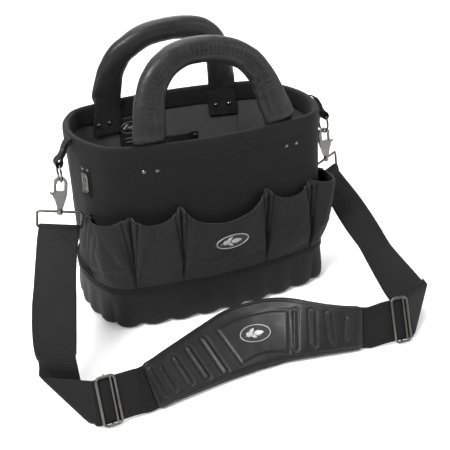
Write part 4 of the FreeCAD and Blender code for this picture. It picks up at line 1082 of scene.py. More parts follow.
# strap edges, lower and upper, in millimetres
STRAP = [
    (-176.69, -59.17, 127.32, -224.59, -45.11, 130.09),
    (-173.17, -46.05, 126.18, -220.84, -32.18, 132.17),
    (-172.06, -41.54, 125.42, -219.54, -27.66, 132.66),
    (-170.88, -37.21, 124.83, -218.37, -23.33, 132.08),
    (-169.84, -33.41, 124.36, -217.33, -19.53, 131.60),
    (-169.20, -31.38, 124.66, -216.68, -17.49, 131.91),
    (-168.57, -30.06, 126.25, -216.06, -16.18, 133.50),
    (-168.26, -30.09, 128.38, -215.74, -16.20, 135.63),
    (-168.39, -31.43, 130.06, -215.88, -17.55, 137.30),
    (-168.92, -33.48, 130.50, -216.41, -19.59, 137.74),
    (-170.29, -37.74, 129.74, -217.77, -23.86, 136.99),
    (-171.45, -41.09, 128.56, -218.93, -27.21, 135.81),
    (-172.91, -46.13, 128.46, -220.57, -32.26, 134.45),
    (-176.61, -59.34, 129.61, -224.51, -45.28, 132.38),
    (-180.50, -72.56, 130.46, -228.31, -57.98, 128.98),
    (-184.60, -85.67, 130.35, -231.89, -70.32, 125.05),
    (-188.64, -98.48, 128.53, -235.45, -82.38, 121.49),
    (-196.44, -122.96, 122.38, -242.40, -105.42, 113.42),
    (-200.07, -134.43, 118.17, -245.80, -116.35, 109.09),
    (-203.35, -145.15, 112.98, -249.23, -126.97, 104.96),
    (-206.25, -154.93, 106.88, -252.68, -137.30, 101.11),
    (-209.13, -164.28, 101.27, -255.70, -146.76, 96.28),
    (-214.61, -181.47, 91.12, -260.51, -162.72, 84.69),
    (-217.07, -189.07, 86.25, -262.30, -169.21, 78.54),
    (-219.35, -195.97, 81.52, -263.60, -174.58, 72.33),
    (-221.48, -202.16, 76.92, -264.33, -178.72, 66.21),
    (-223.48, -207.64, 72.38, -264.38, -181.49, 60.42),
    (-225.39, -212.45, 67.66, -263.68, -182.75, 55.32),
    (-227.09, -216.43, 62.20, -262.28, -182.52, 51.62),
    (-226.05, -230.97, 12.42, -262.26, -182.80, 50.95),
    (-226.27, -232.29, 9.30, -262.48, -184.12, 47.83),
    (-226.93, -234.27, 6.68, -263.13, -186.10, 45.21),
    (-227.78, -236.87, 4.77, -263.98, -188.70, 43.30),
    (-228.54, -239.99, 3.66, -264.75, -191.82, 42.19),
    (-228.96, -243.45, 3.35, -265.17, -195.28, 41.88),
    (-227.95, -250.49, 4.62, -264.16, -202.32, 43.15),
    (-226.33, -253.61, 5.76, -262.53, -205.44, 44.29),
    (-223.97, -256.22, 6.54, -260.18, -208.05, 45.06),
    (-223.23, -256.86, 4.90, -221.28, -241.53, 51.00),
    (-217.19, -261.03, 4.81, -216.95, -244.63, 52.05),
    (-177.09, -260.39, 4.81, -176.85, -244.00, 52.05),
    (-166.55, -259.81, 2.96, -168.50, -239.24, 48.49),
    (-156.88, -258.62, 2.89, -159.37, -234.03, 46.36),
    (-128.05, -253.42, 5.60, -132.24, -219.07, 41.70),
    (-99.40, -246.54, 7.78, -104.54, -207.20, 38.22),
    (-70.63, -238.94, 9.76, -75.12, -196.62, 35.99),
    (-51.11, -234.41, 11.02, -54.15, -191.06, 35.75),
    (-31.58, -230.25, 12.39, -33.66, -186.47, 36.44),
    (-21.47, -229.02, 12.81, -22.33, -185.10, 36.69),
    (-11.18, -229.06, 12.91, -10.41, -185.30, 37.10),
    (-1.15, -230.70, 13.11, 0.62, -188.27, 39.50),
    (8.75, -233.01, 13.14, 11.29, -192.56, 42.42),
    (18.73, -236.67, 12.63, 22.75, -199.53, 45.87),
    (28.22, -240.30, 11.57, 32.18, -206.49, 48.19),
    (56.87, -249.22, 7.54, 61.04, -223.65, 50.30),
    (76.01, -253.98, 5.24, 79.52, -232.91, 50.45),
    (104.90, -260.20, 2.58, 107.92, -243.52, 49.62),
    (114.55, -262.14, 1.41, 117.47, -246.12, 48.68),
    (134.31, -266.41, 5.09, 136.68, -249.22, 51.98),
    (164.59, -269.45, 5.09, 166.95, -252.26, 51.98),
    (168.56, -268.19, 5.10, 170.13, -250.35, 50.66),
    (169.41, -267.71, 6.95, 215.61, -224.28, 42.34),
    (174.02, -263.47, 5.40, 220.23, -220.04, 40.79),
    (176.52, -257.58, 5.10, 222.73, -214.14, 39.97),
    (177.12, -251.25, 5.65, 223.33, -207.82, 41.04),
    (176.40, -201.22, 21.14, 223.32, -206.89, 37.48),
    (176.67, -179.46, 31.45, 225.47, -186.09, 40.08),
    (178.97, -151.01, 44.19, 228.78, -155.29, 43.42),
    (180.89, -130.15, 53.88, 230.48, -131.32, 47.57),
    (181.60, -119.29, 58.25, 231.12, -119.07, 51.36),
    (181.90, -96.65, 65.20, 231.87, -95.53, 63.70),
    (181.62, -85.93, 69.92, 231.57, -83.80, 70.32),
    (180.93, -75.89, 75.55, 230.76, -72.19, 77.30),
    (179.78, -66.78, 82.11, 229.35, -60.78, 84.71),
    (178.15, -58.79, 89.56, 227.20, -49.63, 92.70),
    (176.36, -53.13, 97.93, 223.86, -37.87, 101.34),
    (174.27, -48.48, 107.24, 219.33, -27.09, 110.70),
    (171.19, -43.91, 117.69, 214.16, -18.52, 120.70),
    (169.49, -43.63, 122.91, 211.82, -17.06, 124.44),
    (168.98, -43.02, 126.56, 211.31, -16.46, 128.09),
    (168.00, -41.71, 130.80, 210.34, -15.15, 132.33),
    (167.19, -40.50, 132.39, 209.52, -13.94, 133.91),
    (166.05, -38.70, 132.67, 208.38, -12.13, 134.20),
    (165.11, -37.14, 131.51, 207.44, -10.58, 133.04),
    (164.82, -36.56, 129.46, 207.15, -9.99, 130.98),
    (165.31, -37.22, 127.47, 207.64, -10.66, 128.99),
    (166.68, -39.22, 124.32, 209.01, -12.66, 125.85),
    (168.25, -41.53, 120.77, 210.59, -14.97, 122.30),
    (170.29, -42.24, 116.39, 213.26, -16.85, 119.39),
    (173.60, -46.83, 105.78, 218.66, -25.44, 109.24),
]


# ---------------------------------------------------------------- handles
FRONT = [(-89, -95.0, 247.5, 0.0), (-86, -92, 268, 0.2), (-81.5, -86.5, 292, 0.5), (-72, -82, 312.5, 0.7), (-55, -78.5, 329.4, 0.9), (-32, -76.2, 337.6, 1),
         (-4, -75.5, 338.5, 1), (30, -77.5, 329.6, 1), (51, -80.5, 314.3, 0.9), (62, -84, 296.5, 0.7), (71, -89, 272, 0.3), (78.5, -94.5, 247.5, 0.0)]
REAR = [(-86.5, 94.6, 247.5, 0.0), (-83, 92, 266, 0.2), (-77.5, 86.5, 288, 0.5), (-67, 82, 306, 0.7), (-52, 79, 318.6, 0.9), (-34, 77, 328.3, 1),
        (-6, 75.5, 334.0, 1), (25, 75.5, 334, 1), (49, 77.5, 327.7, 1), (65, 80.5, 314.2, 0.9), (74, 85, 294, 0.6), (79, 90, 270, 0.3), (83, 95, 247.5, 0.0)]


SEAM_AT = 76.0


def handle_cover(name, stations, sy, tabs, creases):
    """Padded cover: flat tabs sewn inside the wall, opening into a stuffed tube over the arch."""
    rows = []       # centre, half width, half depth, plane normal (towards the outside), flat 0..1
    zb = 191.3 if sy < 0 else 198.8
    for end in (0, 1):
        st = stations[0] if end == 0 else stations[-1]
        tx = tabs[end]
        leg = []
        for z, d, hd, hw in ((zb, 7.5, 1.45, 21.6), (zb + 1.3, 7.5, 1.6, 21.9), (206, 7.55, 1.65, 21.9), (222, 7.6, 1.7, 21.7), (233, 7.7, 1.9, 21.3), (240.5, 8.9, 2.6, 20.9)):
            p, n = wall(tx, sy * 105.0, z, -d)
            q = min(1.0, max(0.0, (z - 203) / 44.5))
            leg.append((np.array([tx * (1 - q) + st[0] * q, p[1], z]), hw, hd))
        rows.append(leg)
    C, HW, HD = [], [], []
    for c, hw, hd in rows[0]:
        C.append(c); HW.append(hw); HD.append(hd)
    for x, y, z, f in stations:
        C.append(np.array([x, y, z], float))
        HW.append((20.8 * (1 - f) + 15.8 * f) * 0.99)
        HD.append((6.5 * (1 - f) + 13.7 * f) * 0.99)
    for c, hw, hd in rows[1][::-1]:
        C.append(c); HW.append(hw); HD.append(hd)
    C = np.array(C)
    pts, total = catmull(np.c_[C], 260)
    s0 = np.r_[0, np.cumsum(np.linalg.norm(np.diff(C, axis=0), axis=1))]
    s = np.linspace(0, total, 260)
    hw, hd = np.interp(s, s0, HW), np.interp(s, s0, HD)
    # smooth the size a little
    for _ in range(6):
        hw[1:-1] = (hw[:-2] + 2 * hw[1:-1] + hw[2:]) / 4
        hd[1:-1] = (hd[:-2] + 2 * hd[1:-1] + hd[2:]) / 4
    T = np.gradient(pts, axis=0)
    T /= np.linalg.norm(T, axis=1)[:, None]
    seg = 56
    verts, uvs = [], []
    top = max(p[2] for p in pts)
    for i in range(260):
        p, t = pts[i], T[i]
        f = min(1.0, max(0.0, (p[2] - 236) / 60.0))
        lean = np.array([0, (1 if sy < 0 else -1) * 0.19 * f, 1.0])
        pn = np.cross([1.0, 0, 0], lean)
        pn = pn - t * np.dot(pn, t)
        pn /= np.linalg.norm(pn)
        if pn[1] * sy < 0:
            pn = -pn                # points away from the bag's middle
        mj = np.cross(t, pn)
        mj /= np.linalg.norm(mj)
        inner = np.array([0, sy * 80.0, 262.0]) - p
        if np.dot(mj, inner) < 0:
            mj = -mj                # points to the inside of the arch
        on_arch = min(1.0, max(0.0, (p[2] - 262) / 22.0))
        pk_ = min(1.0, max(0.0, (p[2] - 246) / 30.0))
        for k in range(seg):
            a = 2 * math.pi * k / seg
            ca, sa = math.cos(a), math.sin(a)
            flat = 1 - min(1.0, hd[i] / 9.0)
            ex = 1.0 - 0.45 * flat
            cc = math.copysign(abs(ca) ** ex, ca)
            ss = math.copysign(abs(sa) ** ex, sa)
            r = np.array(mj * cc * hw[i] + pn * ss * hd[i])
            # seam about 50 degrees from the inside edge on the outer face
            da = (a - math.radians(SEAM_AT) + math.pi) % (2 * math.pi) - math.pi
            arc = da * (hw[i] + hd[i]) / 2
            puck = math.sin(2 * math.pi * s[i] / 5.6 + 0.9 * nz3(s[i], 3, sy, 0.08))
            ridge = 1.3 * math.exp(-(arc / 1.3) ** 2) - 1.0 * math.exp(-((abs(arc) - 3.0) / 1.6) ** 2)
            gather = 0.55 * puck * math.exp(-((arc - 4.4) / 3.6) ** 2) + 0.2 * puck * math.exp(-((arc + 3.4) / 2.4) ** 2)
            disp = pk_ * (ridge + gather * on_arch)
            disp += pk_ * (0.55 * nz3(p[0] + 9 * ca, p[1] + 9 * sa, p[2], 0.045) + 0.32 * nz3(p[0] + 9 * ca, p[1], p[2] + 9 * sa, 0.13))
            for (cx, cz, dep, wid) in creases:
                dd = math.hypot(p[0] - cx, p[2] - cz)
                wv = math.exp(-(dd / wid) ** 2) * max(0.0, math.cos(a - math.radians(35)))
                disp -= dep * wv
            nrm = mj * ca * hd[i] + pn * sa * hw[i]
            nrm /= np.linalg.norm(nrm)
            vtx = p + r + nrm * disp
            if p[2] < 251:
                side = 0 if i < 130 else 1
                q2 = min(1.0, max(0.0, (p[2] - 238) / 13.0))
                q2 = q2 * q2 * (3 - 2 * q2)
                out = np.array([0, sy, 0.0])
                ux, ww = float(r[0]), float(np.dot(r, out))
                dist = 7.5 if p[2] < 234 else 7.5 + (min(p[2], 240.5) - 234) / 6.5 * 1.4
                wp, wn = wall(p[0] + ux, sy * 105.0, min(p[2], 242.0), -dist + ww)
                wp = np.array([wp[0], wp[1], vtx[2]])
                vtx = wp * (1 - q2) + vtx * q2
            verts.append(vtx)
            uvs.append((s[i] * MM, a * (hw[i] + hd[i]) / 2 * MM))
    faces = grid_faces(260, seg, close_v=True)
    faces.append(tuple(range(seg - 1, -1, -1)))
    faces.append(tuple(259 * seg + k for k in range(seg)))
    ob = make(name, verts, faces, GRIP, uvs)
    V_ = np.array(verts).reshape(260, seg, 3)
    # stitches beside the seam
    k1 = int(round((math.radians(SEAM_AT) / (2 * math.pi)) * seg))
    path, nn = [], []
    cen = pts
    for i in range(36, 224, 1):
        q = V_[i, (k1 + 2) % seg]
        path.append(q)
        d = q - cen[i]
        nn.append(d / np.linalg.norm(d))
    st = stitches(name + "_seam_st", path, nn, length=3.2, gap=2.2, rad=0.42, lift=0.25)
    return ob, st


fh, fs_ = handle_cover("front_handle_cover", FRONT, -1, (-89, 85), [(61, 303, 1.6, 5.0), (66, 292, 1.2, 4.0), (40, 322, 0.9, 6.0), (70, 281, 1.0, 5.0)])
rh, rs_ = handle_cover("rear_handle_cover", REAR, 1, (-94, 85), [(-60, 309, 0.9, 6.0)])
for ob, st, body, nodes, y in ((fh, fs_, "front_handle", ("front_grip", "front_core", "front_handle_tabs"), -0.095), (rh, rs_, "rear_handle", ("rear_grip", "rear_core", "rear_handle_tabs"), 0.095)):
    if "recalc":
        me = ob.data
        bm = bmesh.new(); bm.from_mesh(me); bmesh.ops.recalc_face_normals(bm, faces=bm.faces); bm.to_mesh(me); bm.free()
    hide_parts(*nodes)
    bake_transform(ob)
    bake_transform(st)

# domed rivets that hold the handles
for side, sy, tx, zr in (("front", -1, (-101.1, -84.9, 84.9, 101.1), 211.7), ("rear", 1, (-106.5, -89.5, 74.0, 95.0), 214.0)):
    rr = []
    for x0 in tx:
        p, n = wall(x0, sy * 105.0, zr, 0)
        p, n = wall(x0, sy * 105.0, zr, 0.45 + shell_disp(0, zr, p[0], p[1]))
        rr.append(rivet("r", p, n, 3.3, 1.9))
        p, n = wall(x0, sy * 105.0, zr, -9.25)
        rr.append(rivet("r", p, -n, 3.1, 1.4))
    o = join(side + "_rivet_caps", rr)
    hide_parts(side + "_rivets")
    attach(o, "root")

# ---------------------------------------------------------------- ring tabs and tape tab
for side, s in (("left", -1), ("right", 1)):
    xt = abs(wall(s * 170, -12, 242, 1.9)[0][0])
    up = [(xt - 0.4, 241.8), (xt + 2.6, 241.4), (xt + 6.5, 237.0), (181.0, 220.6), (185.4, 217.0), (187.0, 213.4), (186.3, 210.4), (183.0, 208.4), (179.6, 210.6), (178.2, 214.0), (178.2, 218.4), (xt + 9.8, 223.6), (xt + 5.0, 233.0), (xt + 2.2, 235.6), (xt - 0.5, 236.0)]
    path, _L = catmull([(a, 0, b) for a, b in up], 60)
    verts, uvs = [], []
    for i in range(60):
        for j in range(9):
            y = -29 + 16 * j / 8
            sq = 0.3 * (abs(j - 4) / 4) ** 4
            verts.append((s * (path[i][0] - sq * 0.4), y, path[i][2] - sq * 0.4))
            uvs.append((path[i][0] * MM * 1.4, y * MM))
    tab = make(side + "_ring_tab_web", verts, grid_faces(60, 9), WEB, uvs)
    solidify(tab, 1.3, offset=0)
    bevel(tab, 0.4)
    pts_, nn_ = [], []
    for y in (-27.6, -14.4):
        a, b = path[6], path[22]
        L = np.linspace(0, 1, 12)
        st_p = [np.array([s * (a[0] + (b[0] - a[0]) * q), y, a[2] + (b[2] - a[2]) * q]) for q in L]
        nn = np.array([s * 0.75, 0, 0.66])
        pts_.append(stitches("st", [p + nn * 0.7 for p in st_p], [nn] * 12))
    ts = join(side + "_ring_tab_stitch", pts_)
    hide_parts(side + "_ring_tab")
    for q in (tab, ts):
        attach(q, "root")
    da, db = np.array([xt + 3.2, 0, 241.5]), np.array([181.5, 0, 220.5])
    m3 = da + (db - da) * 0.55
    n3 = np.array([-(db - da)[2], 0, (db - da)[0]])
    n3 /= np.linalg.norm(n3)
    rr = [rivet("r", np.array([s * (m3 + n3 * 0.3)[0], yy, (m3 + n3 * 0.3)[2]]), [s * n3[0], 0, n3[2]], 2.2, 1.3) for yy in (-26.0, -16.0)]
    o = join(side + "_tab_rivet_caps", rr)
    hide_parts(side + "_tab_rivets")
    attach(o, "root")

tp, tn = wall(-165, -52, 214, 0)
tn = np.array([tn[0], tn[1], 0.0])
tn /= np.linalg.norm(tn)
tside = np.array([tn[1], -tn[0], 0.0])


def tpt(x, y, z):
    return tp + tn * (0.4 + y) + tside * x + np.array([0, 0, 1.0]) * z


prof = [(0.9, 0.4), (1.2, -1.5), (1.3, -10), (1.5, -22), (1.9, -30), (2.6, -35), (3.4, -37.2), (4.4, -36.6), (4.2, -34.8)]
path, _L = catmull([(a, 0, b) for a, b in prof], 40)
verts, uvs = [], []
for i in range(40):
    for j in range(9):
        x = -8.9 + 17.8 * j / 8
        verts.append(tpt(x, path[i][0], path[i][2]))
        uvs.append((path[i][2] * MM, x * MM))
tt = make("tape_tab_web", verts, grid_faces(40, 9), WEB, uvs)
solidify(tt, 1.1, offset=0)
bevel(tt, 0.35)
sts = []
for z in (-2.0, -9.0):
    sts.append(stitches("st", [tpt(x, 2.0, z) for x in np.linspace(-7.6, 7.6, 12)], [tn] * 12))
tts = join("tape_tab_stitch", sts)
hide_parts("tape_tab")
for q in (tt, tts):
    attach(q, "root")
# spring clip: a narrow bent plate with a curled lip
prof = [(3.2, -9.0), (3.5, -10.5), (3.6, -16), (3.8, -24), (4.1, -30), (4.4, -32.2), (5.2, -32.9), (5.6, -32.0)]
path, _L = catmull([(a, 0, b) for a, b in prof], 44)
verts = []
for i in range(44):
    w = 6.0 * (1 - 0.25 * math.exp(-((path[i][2] + 9.0) / 2.0) ** 2))
    for j in range(9):
        x = -w + 2 * w * j / 8
        verts.append(tpt(x, path[i][0] + 0.35 * (1 - (x / 6.0) ** 2), path[i][2]))
tc = make("tape_clip_spring", verts, grid_faces(44, 9), DARKNI, [(0, 0)] * len(verts))
solidify(tc, 1.0, offset=0)
bevel(tc, 0.3)
slot_path = [tpt(x, 4.7 + 0.1, z) for x, z in ((-2.2, -16), (2.2, -16), (2.2, -25), (-2.2, -25))]
sl = tube("tape_clip_slot", [slot_path[0] * (1 - q) + slot_path[1] * q for q in np.linspace(0, 1, 4)] + [slot_path[1] * (1 - q) + slot_path[2] * q for q in np.linspace(0.2, 1, 4)] + [slot_path[2] * (1 - q) + slot_path[3] * q for q in np.linspace(0.2, 1, 4)] + [slot_path[3] * (1 - q) + slot_path[0] * q for q in np.linspace(0.2, 0.8, 4)], 0.45, DARKNI, seg=6, closed=True)
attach(sl, "root")
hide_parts("tape_clip")
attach(tc, "root")
o = join("tape_rivet_caps", [rivet("r", tpt(x, 2.0, -4.5), tn, 2.3, 1.4) for x in (-5, 5)])
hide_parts("tape_rivets")
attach(o, "root")

# ---------------------------------------------------------------- strap
SR = np.array(STRAP)
LO, UP = SR[:, :3], SR[:, 3:]
CT = (LO + UP) / 2


def row_curve(P, n):
    """Cubic curve through the rows, with the row number as parameter."""
    T = np.gradient(P, axis=0)
    out = []
    for t in np.linspace(0, len(P) - 1, n):
        k = min(int(t), len(P) - 2)
        u = t - k
        out.append((2 * u ** 3 - 3 * u ** 2 + 1) * P[k] + (u ** 3 - 2 * u ** 2 + u) * T[k] + (-2 * u ** 3 + 3 * u ** 2) * P[k + 1] + (u ** 3 - u ** 2) * T[k + 1])
    return np.array(out)


def strap_rows(n):
    lo, up = row_curve(LO, n), row_curve(UP, n)
    c = (lo + up) / 2
    w = up - lo
    h = np.linalg.norm(w, axis=1) / 50.0
    w = w / 50.0
    t = np.gradient(c, axis=0)
    t /= np.linalg.norm(t, axis=1)[:, None]
    nn = np.cross(t, w)
    nn /= np.linalg.norm(nn, axis=1)[:, None]
    s = np.r_[0, np.cumsum(np.linalg.norm(np.diff(c, axis=0), axis=1))]
    return s, c, t, w, nn


SN = 90 * 6
ss_, sc_, st_, sw_, sn_ = strap_rows(SN)
verts, uvs = [], []
NC = 30         # 15 points across the front, then 15 back across the rear
for i in range(SN):
    for j in range(NC):
        v = -25 + 50 * j / 14 if j < 15 else 25 - 50 * (j - 15) / 14
        edge = 0.35 * math.exp(-((25 - abs(v)) / 0.5) ** 2)
        h = (0.95 - edge + 0.06 * nz3(ss_[i], v, 0, 0.05)) * (1 if j < 15 else -1)
        verts.append(sc_[i] + sw_[i] * v + sn_[i] * h)
        uvs.append((ss_[i] * MM, v * MM))
_f = grid_faces(SN, NC, close_v=True)
_f.append(tuple(range(NC - 1, -1, -1)))
_f.append(tuple((SN - 1) * NC + k for k in range(NC)))
strap = make("strap_webbing_band", verts, _f, WEB, uvs)
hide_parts("strap_webbing")
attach(strap, "strap")

# ---------------------------------------------------------------- pad
mask = (CT[:, 1] < -180) & (CT[:, 0] > -161) & (CT[:, 0] < 116)
pi = np.nonzero(mask)[0]
PC, PWv = CT[pi], (UP - LO)[pi]
if PC[0][0] > PC[-1][0]:
    PC, PWv = PC[::-1], PWv[::-1]
PWv = PWv / np.linalg.norm(PWv, axis=1)[:, None]
ps0 = np.r_[0, np.cumsum(np.linalg.norm(np.diff(PC, axis=0), axis=1))]
PLEN = ps0[-1]
PAD_HALF = [(-160, 26.3), (-140, 27.2), (-120.7, 29.5), (-101.3, 32), (-81.4, 34.9), (-60.5, 38.2), (-40.2, 41.5), (-18.3, 43.7), (3.6, 42.1), (25, 37.7), (44.8, 33.4), (64.4, 30), (83.9, 27.8), (103.6, 26.3), (118, 26.3)]
PT = np.gradient(PC, ps0, axis=0)


def pad_frame(s):
    s = min(max(s, 0.0), PLEN)
    c = np.array([np.interp(s, ps0, PC[:, k]) for k in range(3)])
    # smooth centre: cubic Hermite
    k = min(max(int(np.searchsorted(ps0, s)) - 1, 0), len(PC) - 2)
    h = ps0[k + 1] - ps0[k]
    u = (s - ps0[k]) / h
    c = (2 * u ** 3 - 3 * u ** 2 + 1) * PC[k] + (u ** 3 - 2 * u ** 2 + u) * h * PT[k] + (-2 * u ** 3 + 3 * u ** 2) * PC[k + 1] + (u ** 3 - u ** 2) * h * PT[k + 1]
    t = PT[k] * (1 - u) + PT[k + 1] * u
    t /= np.linalg.norm(t)
    w = PWv[k] * (1 - u) + PWv[k + 1] * u
    w -= t * np.dot(w, t)
    w /= np.linalg.norm(w)
    return c, t, w, np.cross(t, w)


def pad_half(s):
    c, *_ = pad_frame(s)
    hw = np.interp(c[0], [a for a, _ in PAD_HALF], [b for _, b in PAD_HALF])
    e = min(s, PLEN - s)
    if e < 7.0:
        hw -= 7.0 * (1 - math.sqrt(max(0.0, 1 - (1 - e / 7.0) ** 2)))
    return hw


RIBS = [((5.1, 18), (10.9, -15.5)), ((20.3, 12), (23.2, -13.5)), ((42.8, 13.5), (45, -16.5)), ((66, 17), (67.5, -20.5)), ((91.4, 19), (91.4, -26.5)), ((206, 19.5), (205.3, -22)), ((227, 20), (227, -18)), ((245.9, 18.5), (249.5, -14)), ((270.6, 13), (268.4, -10.5))]
SX = PLEN / 289.4


def pad_height(s, v):
    """Height of the cover above the strap, in mm."""
    hw = pad_half(s)
    q = min(1.0, abs(v) / hw)
    e = min(s, PLEN - s)
    hv = hw - abs(v)
    # dome to the piped edge
    edge = min(1.0, max(0.0, min(hv, e) / 6.5))
    h = 2.6 + 4.1 * math.sin(edge * math.pi / 2) ** 0.8
    # groove inside the piping
    m = min(hv, e)
    h -= 1.0 * math.exp(-((m - 4.2) / 1.1) ** 2)
    # pressed in ribs
    for (a0, b0), (a1, b1) in RIBS:
        a0_, a1_ = a0 * SX, a1 * SX
        dx, dy = a1_ - a0_, b1 - b0
        L = math.hypot(dx, dy)
        u = ((s - a0_) * dx + (v - b0) * dy) / L
        d = ((s - a0_) * dy - (v - b0) * dx) / L
        over = max(0.0, -u, u - L)
        r = math.hypot(d, over)
        h += 1.25 * math.exp(-(r / 1.7) ** 2) - 0.9 * math.exp(-((r - 4.0) / 1.8) ** 2)
    # centre panel
    x0 = np.interp(v, [-27.5, 21.5], [117.5, 116.1]) * SX
    x1 = np.interp(v, [-26.5, 20], [195.6, 197.3]) * SX
    top = np.interp(s, [116 * SX, 194 * SX], [21.5, 20.0]) + 1.5 * math.sin(max(0, min(1, (s - x0) / (x1 - x0))) * math.pi)
    bot = -27.0
    d = min(s - x0, x1 - s, top - v, v - bot)
    h += 0.9 * (1 / (1 + math.exp(-d / 0.8))) - 0.9 * math.exp(-((d + 2.2) / 1.4) ** 2) + 0.5 * math.exp(-((d - 1.0) / 0.9) ** 2)
    h += 0.22 * nz3(s, v, 0, 0.06)
    return h


PS, PV = 260, 73
verts, uvs = [], []
for i in range(PS):
    s = PLEN * i / (PS - 1)
    c, t, w, n = pad_frame(s)
    hw = pad_half(s)
    for j in range(PV):
        v = hw * math.sin(math.pi / 2 * (-1 + 2 * j / (PV - 1))) * 0.5 + hw * (-1 + 2 * j / (PV - 1)) * 0.5
        h = pad_height(s, v)
        verts.append(c + w * v + n * h)
        uvs.append((s * MM, v * MM))
nb = len(verts)
# underside of the cover, closed round the edge
for i in range(PS):
    s = PLEN * i / (PS - 1)
    c, t, w, n = pad_frame(s)
    hw = pad_half(s)
    for j in range(PV):
        v = hw * math.sin(math.pi / 2 * (-1 + 2 * j / (PV - 1))) * 0.5 + hw * (-1 + 2 * j / (PV - 1)) * 0.5
        verts.append(c + w * v + n * 1.15)
        uvs.append((s * MM, v * MM))
faces = grid_faces(PS, PV) + grid_faces(PS, PV, off=nb, flip=True)
for i in range(PS - 1):
    for j, f in ((0, 0), (PV - 1, 1)):
        a, b = i * PV + j, (i + 1) * PV + j
        faces.append((a, nb + a, nb + b, b) if f == 0 else (a, b, nb + b, nb + a))
for j in range(PV - 1):
    for i, f in ((0, 1), (PS - 1, 0)):
        a, b = i * PV + j, i * PV + j + 1
        faces.append((a, nb + a, nb + b, b) if f == 0 else (a, b, nb + b, nb + a))
pad = make("pad_cover_vinyl", verts, faces, PADV, uvs)
bm = bmesh.new(); bm.from_mesh(pad.data); bmesh.ops.recalc_face_normals(bm, faces=bm.faces); bm.to_mesh(pad.data); bm.free()
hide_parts("pad_cover")
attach(pad, "strap")


def pad_rim(inset, hgt, n=300):
    """Closed path round the pad at a distance in from its edge."""
    P, Q = [], []
    m = n // 2
    for k in range(m):
        s = PLEN * k / (m - 1)
        c, t, w, nn = pad_frame(min(max(s, inset), PLEN - inset))
        v = pad_half(min(max(s, inset), PLEN - inset)) - inset
        P.append(c + w * v + nn * hgt); Q.append(nn)
    for k in range(m):
        s = PLEN * (1 - k / (m - 1))
        c, t, w, nn = pad_frame(min(max(s, inset), PLEN - inset))
        v = pad_half(min(max(s, inset), PLEN - inset)) - inset
        P.append(c - w * v + nn * hgt); Q.append(nn)
    P, Q = np.array(P), np.array(Q)
    keep = np.r_[True, np.linalg.norm(np.diff(P, axis=0), axis=1) > 0.25]
    return P[keep], Q[keep]


P, Q = pad_rim(1.2, 2.2)
pipe = tube("pipe", P, 1.35, BIND, seg=10, closed=True)
P, Q = pad_rim(4.2, 6.15)
ps_ = stitches("pst", np.vstack([P, P[:1]]), np.vstack([Q, Q[:1]]))
pp = join("pad_piping", [pipe, ps_])
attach(pp, "strap")

verts, uvs = [], []
for lay in (0, 1):
    for i in range(120):
        s = PLEN * i / 119
        c, t, w, n = pad_frame(s)
        hw = pad_half(s) - 0.4
        for j in range(25):
            q = -1 + 2 * j / 24
            v = hw * q
            m = min(hw - abs(v), min(s, PLEN - s))
            h = -1.15 if lay == 0 else -(2.2 + 1.4 * min(1.0, m / 4.0) ** 0.5 + 0.15 * nz3(s, v, 4, 0.05))
            verts.append(c + w * v + n * h)
            uvs.append((s * MM, v * MM))
nb = 120 * 25
faces = grid_faces(120, 25) + grid_faces(120, 25, off=nb, flip=True)
for i in range(119):
    for j in (0, 24):
        a, b = i * 25 + j, (i + 1) * 25 + j
        faces.append((a, b, nb + b, nb + a))
for j in range(24):
    for i in (0, 119):
        a, b = i * 25 + j, i * 25 + j + 1
        faces.append((a, b, nb + b, nb + a))
pb = make("pad_backing_foam", verts, faces, FOAM, uvs)
bm = bmesh.new(); bm.from_mesh(pb.data); bmesh.ops.recalc_face_normals(bm, faces=bm.faces); bm.to_mesh(pb.data); bm.free()
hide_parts("pad_backing")
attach(pb, "strap")


def padbadge_place(x, z):
    c, t, w, n = pad_frame(x * SX)
    return c + w * z + n * 7.3, n


bp = oval_plate(padbadge_place, 154.5, -1.5, 23.0, 12.3, math.radians(-3), 1.3, BADGE, SILVER, "pad_badge_plate", "strap", "pad_badge")

# strap end stitching: box seams where the ends turn back round the rings
sst = []
for i0, i1 in ((30, 62), (SN - 63, SN - 31)):
    for v in (-20, 20):
        sst.append(stitches("st", [sc_[i] + sw_[i] * v + sn_[i] * 1.05 for i in range(i0, i1)], [sn_[i] for i in range(i0, i1)]))
    for i in (i0, i1 - 1):
        sst.append(stitches("st", [sc_[i] + sw_[i] * v + sn_[i] * 1.05 for v in np.linspace(-20, 20, 12)], [sn_[i]] * 12))
sst = join("strap_stitching", sst)
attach(sst, "strap")

# ---------------------------------------------------------------- slides
SLIDES = {"left_slide": ((-205.5, -252.65, 28.43), (0.99988, 0.01576, 0), (0.00475, 0.32787, 0.94471)),
          "right_slide": ((154.0, -259.67, 28.53), (0.99501, -0.09977, 0), (0.04735, 0.34386, 0.93783))}


def rounded_loop(hx, hz, r, n=7):
    out = []
    for cx, cz, a0 in ((hx - r, hz - r, 0), (-hx + r, hz - r, 90), (-hx + r, -hz + r, 180), (hx - r, -hz + r, 270)):
        for k in range(n):
            a = math.radians(a0 + 90 * k / (n - 1))
            out.append((cx + r * math.cos(a), cz + r * math.sin(a)))
    return out


